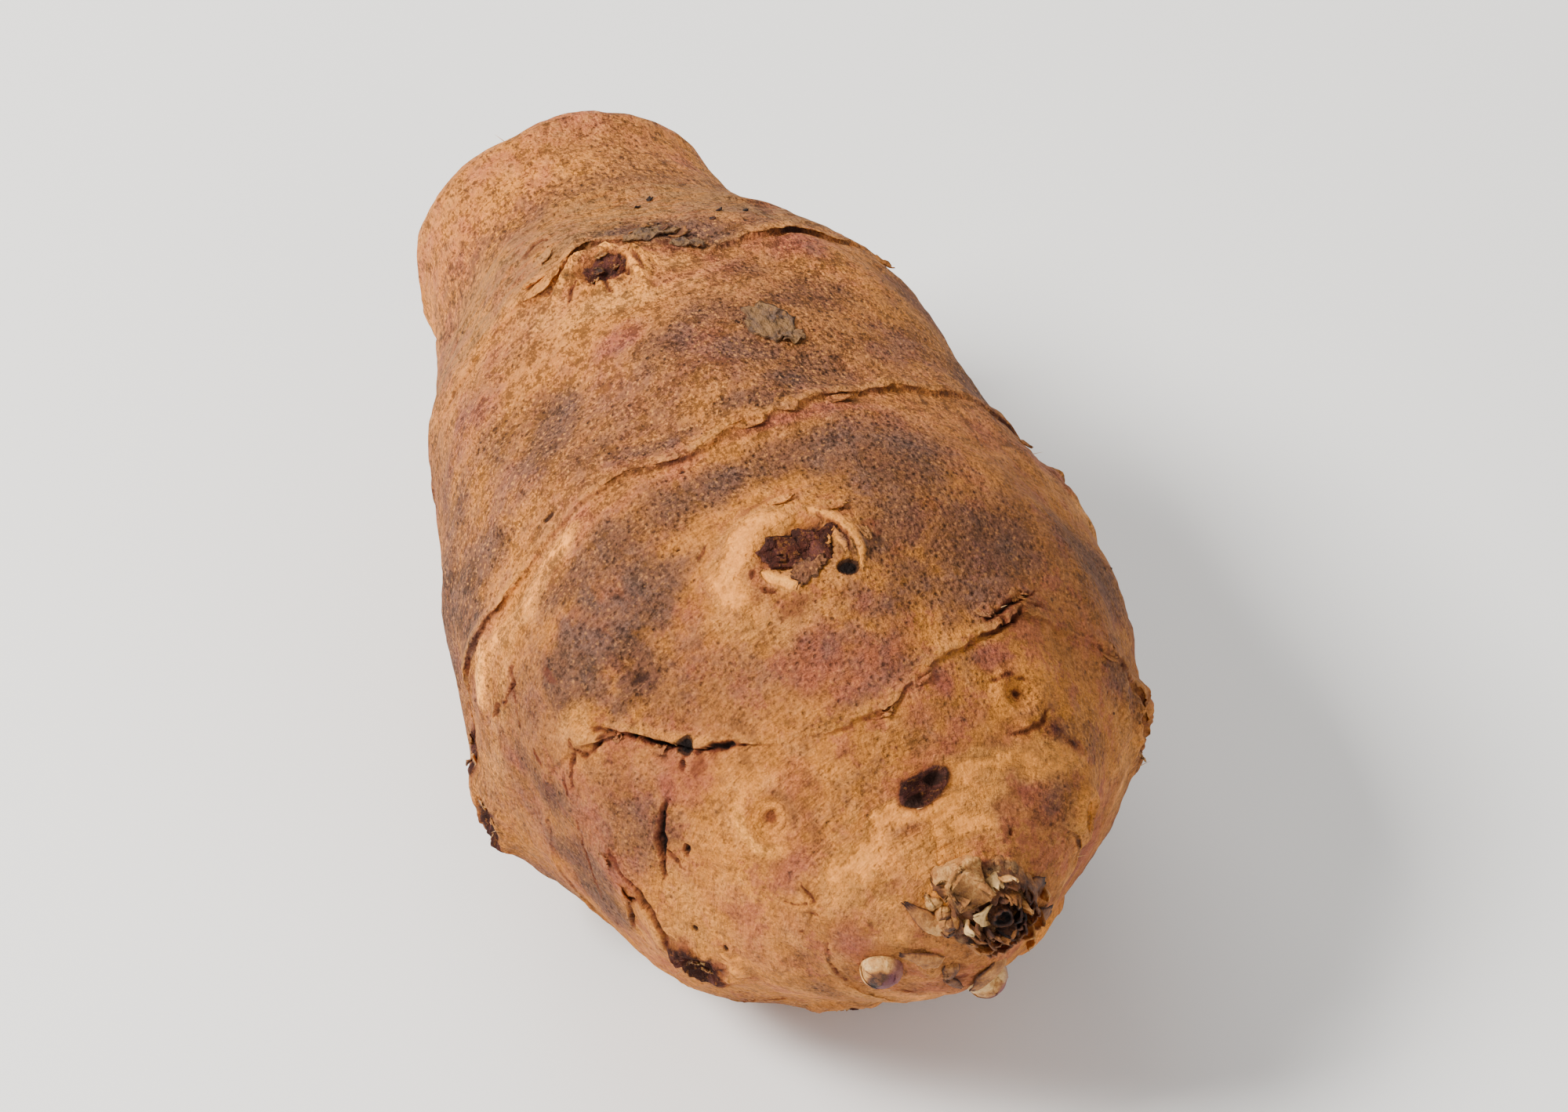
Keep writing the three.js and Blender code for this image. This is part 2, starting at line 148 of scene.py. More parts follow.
def ramp(value, low, high):  # 0 below low, 1 above high, smooth between
    return value.graph.add("ShaderNodeMapRange", {"interpolation_type": "SMOOTHSTEP"},
                           {"Value": value, "From Min": low, "From Max": high})


def newFinish(name):
    material = bpy.data.materials.new(name)
    material.use_nodes = True
    return material, Graph(material.node_tree)


def endFinish(graph, sockets):
    surface = graph.add("ShaderNodeBsdfPrincipled", None, sockets)
    graph.add("ShaderNodeOutputMaterial", None, {"Surface": surface})


viewSettings = {
    "azimuth": 67.0,  # degrees round from -Y
    "elevation": 46.0,
    "distance": 0.6,
    "aim": Vector((-1.6, 0.2, 22.3)) * mm,  # the middle of the tuber
    "slideRight": 2.4 * mm,
    "slideUp": 2.3 * mm,
    "lens": 180.0,
    "sensor": 36.0,
    "nearest": 0.01,
}
lampSettings = {  # place, width and height, power, colour
    "keyLamp": ((-0.06, -0.42, 0.50), (0.22, 0.20), 8.0, (1.0, 0.975, 0.94)),
    "sideLamp": ((-0.42, 0.02, 0.36), (0.30, 0.30), 1.2, (1.0, 0.985, 0.965)),
    "fillLamp": ((0.50, 0.10, 0.34), (0.4, 0.4), 1.0, (0.98, 0.99, 1.0)),
}
floorSettings = {"reach": 1.6, "colour": tint(246, 245, 242), "roughness": 0.9, "glow": 0.5}


def makeCamera(settings):
    turn, tilt = math.radians(settings["azimuth"]), math.radians(settings["elevation"])
    back = Vector((math.sin(turn) * math.cos(tilt), -math.cos(turn) * math.cos(tilt), math.sin(tilt)))
    right = Vector((math.cos(turn), math.sin(turn), 0))
    up = back.cross(right)
    aim = settings["aim"] + right * settings["slideRight"] + up * settings["slideUp"]
    camera = bpy.data.objects.new("camera", bpy.data.cameras.new("camera"))
    camera.data.lens = settings["lens"]
    camera.data.sensor_width = settings["sensor"]
    camera.data.clip_start = settings["nearest"]
    turned = Matrix((right, up, back)).transposed().to_4x4()
    camera.matrix_world = Matrix.Translation(aim + back * settings["distance"]) @ turned
    bpy.context.scene.collection.objects.link(camera)
    bpy.context.scene.camera = camera


def makeLamp(name, place, size, power, colour):
    lamp = bpy.data.objects.new(name, bpy.data.lights.new(name, "AREA"))
    lamp.data.shape = "RECTANGLE"
    lamp.data.size, lamp.data.size_y = size
    lamp.data.energy = power
    lamp.data.color = colour
    lamp.location = place
    lamp.rotation_euler = (Vector(place) - viewSettings["aim"]).to_track_quat("Z", "Y").to_euler()
    bpy.context.scene.collection.objects.link(lamp)


def makeFloor(settings):
    reach = settings["reach"]
    mesh = bpy.data.meshes.new("floor")
    corners = [(-reach, -reach, 0), (reach, -reach, 0), (reach, reach, 0), (-reach, reach, 0)]
    mesh.from_pydata(corners, [], [(0, 1, 2, 3)])
    floor = bpy.data.objects.new("floor", mesh)
    bpy.context.scene.collection.objects.link(floor)
    material, graph = newFinish("floorPaper")
    endFinish(graph, {"Base Color": settings["colour"], "Roughness": settings["roughness"]})
    mesh.materials.append(material)
    world = bpy.data.worlds.new("studio")
    bpy.context.scene.world = world
    world.use_nodes = True
    background = world.node_tree.nodes["Background"].inputs
    background["Color"].default_value = (1, 1, 1, 1)
    background["Strength"].default_value = settings["glow"]


makeCamera(viewSettings)
for lampName, lampValues in lampSettings.items():
    makeLamp(lampName, *lampValues)
makeFloor(floorSettings)
print("camera, lamps and floor placed")


# A place on the skin is (along, around): millimetres along the skin from the stem rim to the tip,
# and degrees round the body, 0 on top, +90 on the +Y side, 180 underneath.
tuberForm = {
    "stations": [  # x, radius, sideways shift, lift of the section's centre
        (-41.0, 12.2, 0.4, 1.9), (-35.0, 12.8, 0.2, 1.7), (-29.0, 14.8, 0.4, 1.8), (-21.5, 19.0, 0.8, 1.4),
        (-12.0, 21.9, 0.8, 0.4), (-1.5, 24.3, -0.2, -0.2), (9.0, 24.5, -0.8, 0.1), (19.5, 22.6, 0.2, 0.5),
        (28.5, 18.6, 0.2, 1.2), (35.5, 12.2, 0.0, 2.3), (40.5, 6.6, 0.6, 3.4), (42.6, 0.0, 0.8, 4.2),
    ],
    "flattening": 0.93,
    "shift": (-1.6, 0.2, 22.3),
    "unevenness": [  # size, waves per millimetre along x, y and z, phase
        (0.34, 0.23, 0.19, 0.11, 0.4), (0.26, -0.16, 0.31, 0.27, 2.1),
        (0.18, 0.42, -0.25, 0.38, 4.4), (0.12, -0.31, 0.55, -0.22, 1.1),
    ],
    "swellings": [  # along, around, height, reach
        (42.0, -92, -1.6, 6.5), (63.0, -112, -1.0, 8), (34.0, -18, 0.6, 8), (3.0, -16, 1.3, 9),
        (81.0, -122, 0.8, 6), (56.0, -52, 0.7, 7), (66.0, 12, -0.4, 5), (79.0, 60, 0.7, 6),
        (38.0, 75, -0.9, 8), (79.0, 96, -0.8, 6), (36.0, 130, 0.8, 9), (33.0, -140, 0.7, 9),
        (56.0, 168, -1.0, 9), (39.0, -172, 0.4, 8),
    ],
    "rimDrop": 0.5,
    "rimTears": [(0.5, 2, -1.2), (0.3, 5, 4.2), (0.2, 9, 4.0)],  # size, waves round the rim, phase
    "tearReach": 4.0,
    "dish": 1.3,
    "ledge": (1.1, 1.5, 1.8),  # height, place across the face, softness
    # uneven heights: height, size of the lumps, seed
    "skinGrain": [(0.14, 3.2, 9), (0.1, 1.5, 12), (0.06, 0.8, 13)],
    "wrinkles": [(0.08, 1.0, 15), (0.07, 2.2, 18)],
    "wrinkleSize": (0.55, 4.5, 4.5),  # short along the skin and long across it
    "scabGrain": [(0.3, 1.0, 6), (0.18, 0.5, 8)],
    "faceGrain": [(0.85, 3.4, 21), (0.5, 1.4, 22), (0.24, 0.7, 23)],
    "foldGrain": [(1.0, 0.62, 33), (0.6, 0.3, 34)],
    "crownGrain": [(0.5, 1.5, 27), (0.35, 0.7, 28)],
}

# Rings where scale leaves sat: heights and widths, how far the path is torn, how strongly its line is
# marked, how dark the skin before it is, and a path of around, along, strength.
leafScars = [
    {"lip": 0.45, "groove": 0.15, "lipWidth": 2.0, "sharp": 0.7, "torn": 0.0,
     "marked": 0.4, "shadow": 0.0,
     "path": [(-170, 14, 0.7), (-110, 14.5, 0.8), (-75, 15, 1), (-50, 16, 1), (-26, 13, 1), (2, 12.6, 1),
              (28, 15.2, 1), (60, 17, 0.9), (110, 15.5, 0.8), (150, 14.5, 0.7)]},
    {"lip": 0.5, "groove": 0.4, "lipWidth": 1.2, "sharp": 0.22, "torn": 0.45,
     "marked": 1.0, "shadow": 0.0,
     "path": [(-165, 23, 0.5), (-110, 24, 0.4), (-70, 24, 0.3), (-38, 22.4, 0.8), (-31, 23.6, 1),
              (-25, 23.2, 1), (-17, 21, 1), (-10, 21.7, 1), (0, 23.1, 1), (7, 25.6, 1), (20, 25, 0.8),
              (40, 24, 0.8), (80, 23.5, 0.7), (130, 22.5, 0.6)]},
    {"lip": 0.55, "groove": 0.4, "lipWidth": 1.3, "sharp": 0.25, "torn": 0.3,
     "marked": 1.0, "shadow": 0.45,
     "path": [(-150, 47.6, 0.7), (-112, 46.6, 0.9), (-86, 46.4, 1), (-70, 46.6, 1), (-50, 47, 0.9),
              (-28, 47, 0.9), (-17, 48.4, 1), (-6, 47.6, 1), (2, 47.8, 1), (14, 46.6, 1), (45, 45.5, 0.9),
              (80, 46.8, 1), (130, 45.6, 0.8), (175, 47, 0.3)]},
    {"lip": 0.5, "groove": 0.45, "lipWidth": 1.2, "sharp": 0.2, "torn": 0.45,
     "marked": 1.0, "shadow": 0.45,
     "path": [(-150, 62, 0.6), (-112, 59, 0.6), (-82, 59.4, 0.3), (-66, 61.8, 0.9), (-56, 64.4, 1),
              (-50, 68.6, 1), (-40, 71.6, 1.4), (-26, 74.4, 1.5), (-8, 75, 1.3), (4, 72.9, 1), (19, 71, 1),
              (33, 69.2, 0.9), (48, 69.6, 0.8), (66, 69, 0.9), (98, 67.6, 1), (140, 66, 0.7),
              (178, 64.6, 0.3)]},
    {"lip": 0.2, "groove": 0.16, "lipWidth": 0.9, "sharp": 0.25, "torn": 0.1,
     "marked": 1.0, "shadow": 0.0,
     "path": [(-160, 86.6, 0.6), (-121, 85.8, 0.7), (-100, 85.2, 0.7), (-80, 85.2, 0.6), (-45, 86.2, 0.1),
              (-5, 87.4, 0.0), (35, 86.4, 0.1), (75, 85.4, 0.7), (120, 86, 0.7), (165, 87, 0.6)]},
]

# Eyes: along, around, half width round, half length along, mound, collar, pit, kind.
eyes = [
    (24.9, -15, 4.4, 3.4, 0.6, 0.3, 1.3, "folded"), (60.6, -9, 6.4, 5.6, 1.5, 0.0, 0.7, "open"),
    (77.1, -49, 3.1, 3.1, 0.35, 0.16, 0.4, "bright"), (75.9, 29, 2.7, 2.7, 0.3, 0.2, 0.4, "ringed"),
    (82.3, -7, 3.0, 2.3, 0.1, 0.1, 1.3, "scabbed"), (74.2, -112, 3.4, 3.2, 0.5, 0.3, 0.9, "folded"),
    (50.6, -110, 4.4, 3.6, 1.5, 0.4, 0.8, "folded"), (69.6, 90, 4.6, 4.0, 1.1, 0.5, 0.8, "folded"),
    (50.0, 77, 5.0, 4.2, 0.8, 0.5, 0.9, "scabbed"), (26.0, 164, 4.2, 3.4, 0.7, 0.4, 0.8, "folded"),
    (62.0, 146, 4.4, 4.0, 1.0, 0.45, 0.8, "scabbed"), (77.5, 142, 3.2, 3.0, 0.6, 0.4, 0.6, "ringed"),
    (77.0, -158, 3.2, 3.0, 0.6, 0.4, 0.7, "scabbed"), (83.0, 72, 2.6, 2.4, 0.4, 0.35, 0.6, "ringed"),
    (36.0, 84, 2.4, 2.2, 0.3, 0.25, 0.4, "ringed"),
]
litSide = np.array([-0.74, -0.45, 0.49])  # painted light: towards this side the smooth eyes and buds are palest, painted lighter as if lit from it, and darker away from it
brightEyeLitSide = np.array([0.15, -0.88, -0.45])  # and towards this one the bright eye is painted lighter, as if lit from it
crown = {"along": 94.9, "around": 23, "middle": (-0.5, -0.7), "radius": 3.9, "height": 0.9,
         "pit": 1.3, "pitRadius": 0.95}

# Cracks in the skin: half width, depth, then the line through (along, around).
skinCracks = [
    (0.22, 0.4, [(61.6, -61), (63.2, -58.5), (64.6, -56.5)]),
    (0.34, 0.8, [(64, -57.5), (65.4, -55.2), (66.6, -54), (67.8, -52), (69.4, -49.5)]),
    (0.26, 0.6, [(69, -50), (70, -46.5), (70.6, -43.5), (71.6, -40)]),
    (0.24, 0.4, [(68.6, -51), (68.9, -53.5), (69.5, -56)]),
    (0.4, 0.6, [(69.6, -62), (70.3, -70), (71.1, -76), (71.9, -84)]),
    (0.24, 0.3, [(71.6, -75), (73.4, -78.5)]), (0.3, 0.35, [(72.5, -71), (73.2, -73.5)]),
    (0.26, 0.32, [(63.6, -58), (63, -60.5), (63, -63), (62.3, -66), (61.4, -66.5), (61, -64)]),
    (0.24, 0.3, [(61.7, -67), (61.8, -70), (62.2, -75)]), (0.22, 0.25, [(61.1, -74), (62.3, -79)]),
    (0.34, 0.4, [(66.4, -84), (68.2, -89), (69.7, -92), (71.1, -96), (71.9, -102), (71.7, -109)]),
    (0.28, 0.4, [(69.6, -93), (68.6, -97), (67.9, -106), (67.1, -113)]),
    (0.24, 0.3, [(62.6, -80), (63.6, -88), (64, -98), (64, -112)]),
    (0.34, 0.5, [(70, 20), (69.4, 24), (68, 31), (66.8, 37)]),
    (0.28, 0.45, [(70.9, 22), (69.9, 28), (68.5, 33), (68, 38)]), (0.24, 0.4, [(69.4, 24), (70.2, 27)]),
    (0.24, 0.3, [(52.6, -64.5), (52.3, -66.5), (53.5, -67), (53.3, -70), (53, -74)]),
    (0.22, 0.26, [(53.5, -68), (54.5, -70), (55.5, -74.5)]), (0.24, 0.3, [(52.5, -74.5), (52, -79)]),
    # the crack from (46.9, -75) to (46.2, -92) along ring C on the left is painted shadow under the lip
    # there, cut in as a shallow crack
    (0.3, 0.35, [(46.9, -75), (47.2, -81), (47, -87), (46.2, -92)]),
    (0.24, 0.3, [(57.6, -74), (58.9, -77.5)]), (0.13, 0.16, [(81.9, -61), (82.8, -64), (84.2, -69)]),
    (0.12, 0.14, [(81.4, -74), (82.8, -71), (84, -68)]), (0.12, 0.14, [(83.6, -73), (84.8, -73)]),
    (0.1, 0.1, [(82.4, -78), (83.4, -79)]), (0.1, 0.1, [(83, -84), (84, -83)]),
    (0.2, 0.2, [(76.5, 38), (77.4, 38), (78.6, 34), (79, 30), (79.4, 21)]),
    (0.2, 0.2, [(74.8, 19), (74.4, 26), (75.1, 32.5)]), (0.2, 0.25, [(87, 26), (87.9, 26)]),
    (0.1, 0.14, [(86.2, -69), (85.5, -78), (85.3, -90), (85.4, -104), (85.8, -120), (87, -130)]),
    (0.12, 0.16, [(88.1, -132), (88.6, -143), (88.4, -158)]),
    (0.22, 0.3, [(25, -16.5), (26.6, -16.5), (28.2, -16)]), (0.2, 0.28, [(25.2, -19), (27.2, -19.5)]),
    (0.22, 0.3, [(25, -21.5), (26.8, -25)]), (0.2, 0.3, [(24.6, -12.5), (26.2, -11.2), (27.2, -11.4)]),
    (0.22, 0.3, [(23.2, -9.6), (25, -8.4), (28, -8.6)]),
    (0.22, 0.3, [(18.2, -31), (17.6, -26), (17.8, -23)]), (0.22, 0.25, [(61, -18), (61.7, -19.8)]),
    (0.22, 0.25, [(62.4, -18.8), (63.4, -17)]),
    (0.22, 0.3, [(58.6, -3.2), (60, -1.6), (61.4, -0.7), (62.6, -1.4)]),
    (0.2, 0.22, [(57, -21), (57.8, -25)]), (0.2, 0.3, [(19.5, 24), (22.5, 34), (23, 44)]),
    (0.2, 0.3, [(30, 96), (34, 101), (37.5, 99)]), (0.3, 0.45, [(57, 112), (60, 117), (64, 119)]),
    (0.3, 0.4, [(40, -128), (44, -131), (49, -127)]), (0.22, 0.35, [(70, -140), (74, -137), (77, -141)]),
    (0.24, 0.35, [(30, 140), (32, 149), (31.5, 157)]), (0.3, 0.4, [(60, 170), (63, 176), (67, 174)]),
    (0.24, 0.3, [(33, -160), (37, -163), (39, -158)]),
]

# Gentle swellings: along, around, reach along and round, height.
swellings = [(62, -124, 14, 10, 1.1)]

# Raised folds: half width, height, paleness, then the line.
skinFolds = [
    (0.6, 0.4, 0.6, [(62.4, -58), (64.4, -54.4), (65.8, -52.6), (67.4, -50.2), (68.8, -47.6), (70, -43)]),
    (1.2, 0.22, 0.95, [(48.4, -38), (49, -47), (50, -55), (49.7, -63), (48.6, -70)]),
    (1.1, 0.3, 1.7, [(48, -70), (49.2, -74), (50.4, -79)]),
    (0.7, 0.1, 0.55, [(51.4, -76), (52.6, -82), (53.6, -88), (54, -97)]),
    (0.9, 0.1, 0.5, [(50.6, -60), (51.6, -68), (53.6, -80)]),
    (1.8, 0.4, 1.05, [(57.6, -7), (57.8, -12), (58.5, -17), (59.9, -21.5), (61.6, -24), (63.6, -23)]),
    (1.0, 0.1, 0.5, [(58.9, -15), (60, -19.5), (61.6, -22.5), (63.4, -25)]),
    (0.5, 0.42, 1.5, [(57.7, -4), (58.9, -1.6), (60, 0), (61.2, 1), (62.5, 0.5), (63.8, -0.6)]),
    (0.34, 0.3, 1.1, [(59.6, -3.2), (60.8, -2), (62, -2), (63, -2.8)]),
    (0.9, 0.15, 0.35, [(66.3, -5), (66.8, -10), (66.8, -15), (66.2, -21)]),
    (0.42, 0.35, 1.9, [(61.5, -16.6), (62.4, -15.8), (63.2, -14.6), (63.8, -13.6)]),
    (0.7, 0.2, 0.5, [(62.4, -26), (64, -26), (65.6, -23)]),
    (0.5, 0.45, 0.9, [(25.2, -28), (24.3, -24.5), (23.2, -21.6), (22.4, -18)]),
    (0.34, 0.35, 1.9, [(22.7, -13.4), (22.9, -11.2)]),
    (0.55, 0.5, 1.0, [(23.7, -10.8), (25.2, -9.8), (26.8, -9.7), (28.5, -9.6)]),
    (0.5, 0.3, 0.9, [(28.9, -14), (28.8, -11), (28.6, -9)]),
    (0.4, 0.3, 0.8, [(23.4, -8), (25, -6.8), (27.4, -7.6)]),
    (1.0, 0.3, 0.9, [(60, -62), (61.2, -62.5), (61.8, -64.5)]),
    (0.45, 0.3, 0.75, [(69.9, -95), (70.8, -100), (71, -107), (69.6, -115)]),
    (0.5, 0.3, 1.1, [(76.6, -103), (77.6, -107), (77.5, -112), (76.4, -116)]),
    (0.34, 0.25, 1.9, [(77.4, -109), (77.7, -112.5)]),
    (0.5, 0.2, 0.9, [(82.6, -24), (83.8, -20), (84.2, -13), (84, -5), (83.2, 1)]),
    (0.4, 0.2, 0.6, [(81.2, -27), (81.6, -37), (82, -50)]),
    (0.5, 0.35, 1.2, [(88.4, -17), (89.4, -26), (90.4, -33), (91.4, -38)]),
    (0.5, 0.3, 0.7, [(90.8, -147), (91.6, -128), (91.4, -112)]),
    (0.4, 0.3, 0.8, [(68.2, 70), (72.6, 74), (73.4, 84)]),
    (0.5, 0.35, 0.5, [(47.6, 70), (46.8, 77), (47.6, 84)]),
    (0.5, 0.3, 0.6, [(66.4, 84), (66.2, 92), (67.2, 98)]),
    (0.5, 0.3, 0.7, [(59, 140), (58.8, 147), (59.8, 153)]),
    (0.5, 0.35, 0.6, [(23.6, 158), (23.4, 166), (24.4, 172)]),
    (0.5, 0.35, 0.8, [(47.8, -103), (47.4, -110), (48, -117)]),
    (0.4, 0.3, 0.7, [(75, -152), (74.8, -160), (75.8, -165)]),
]

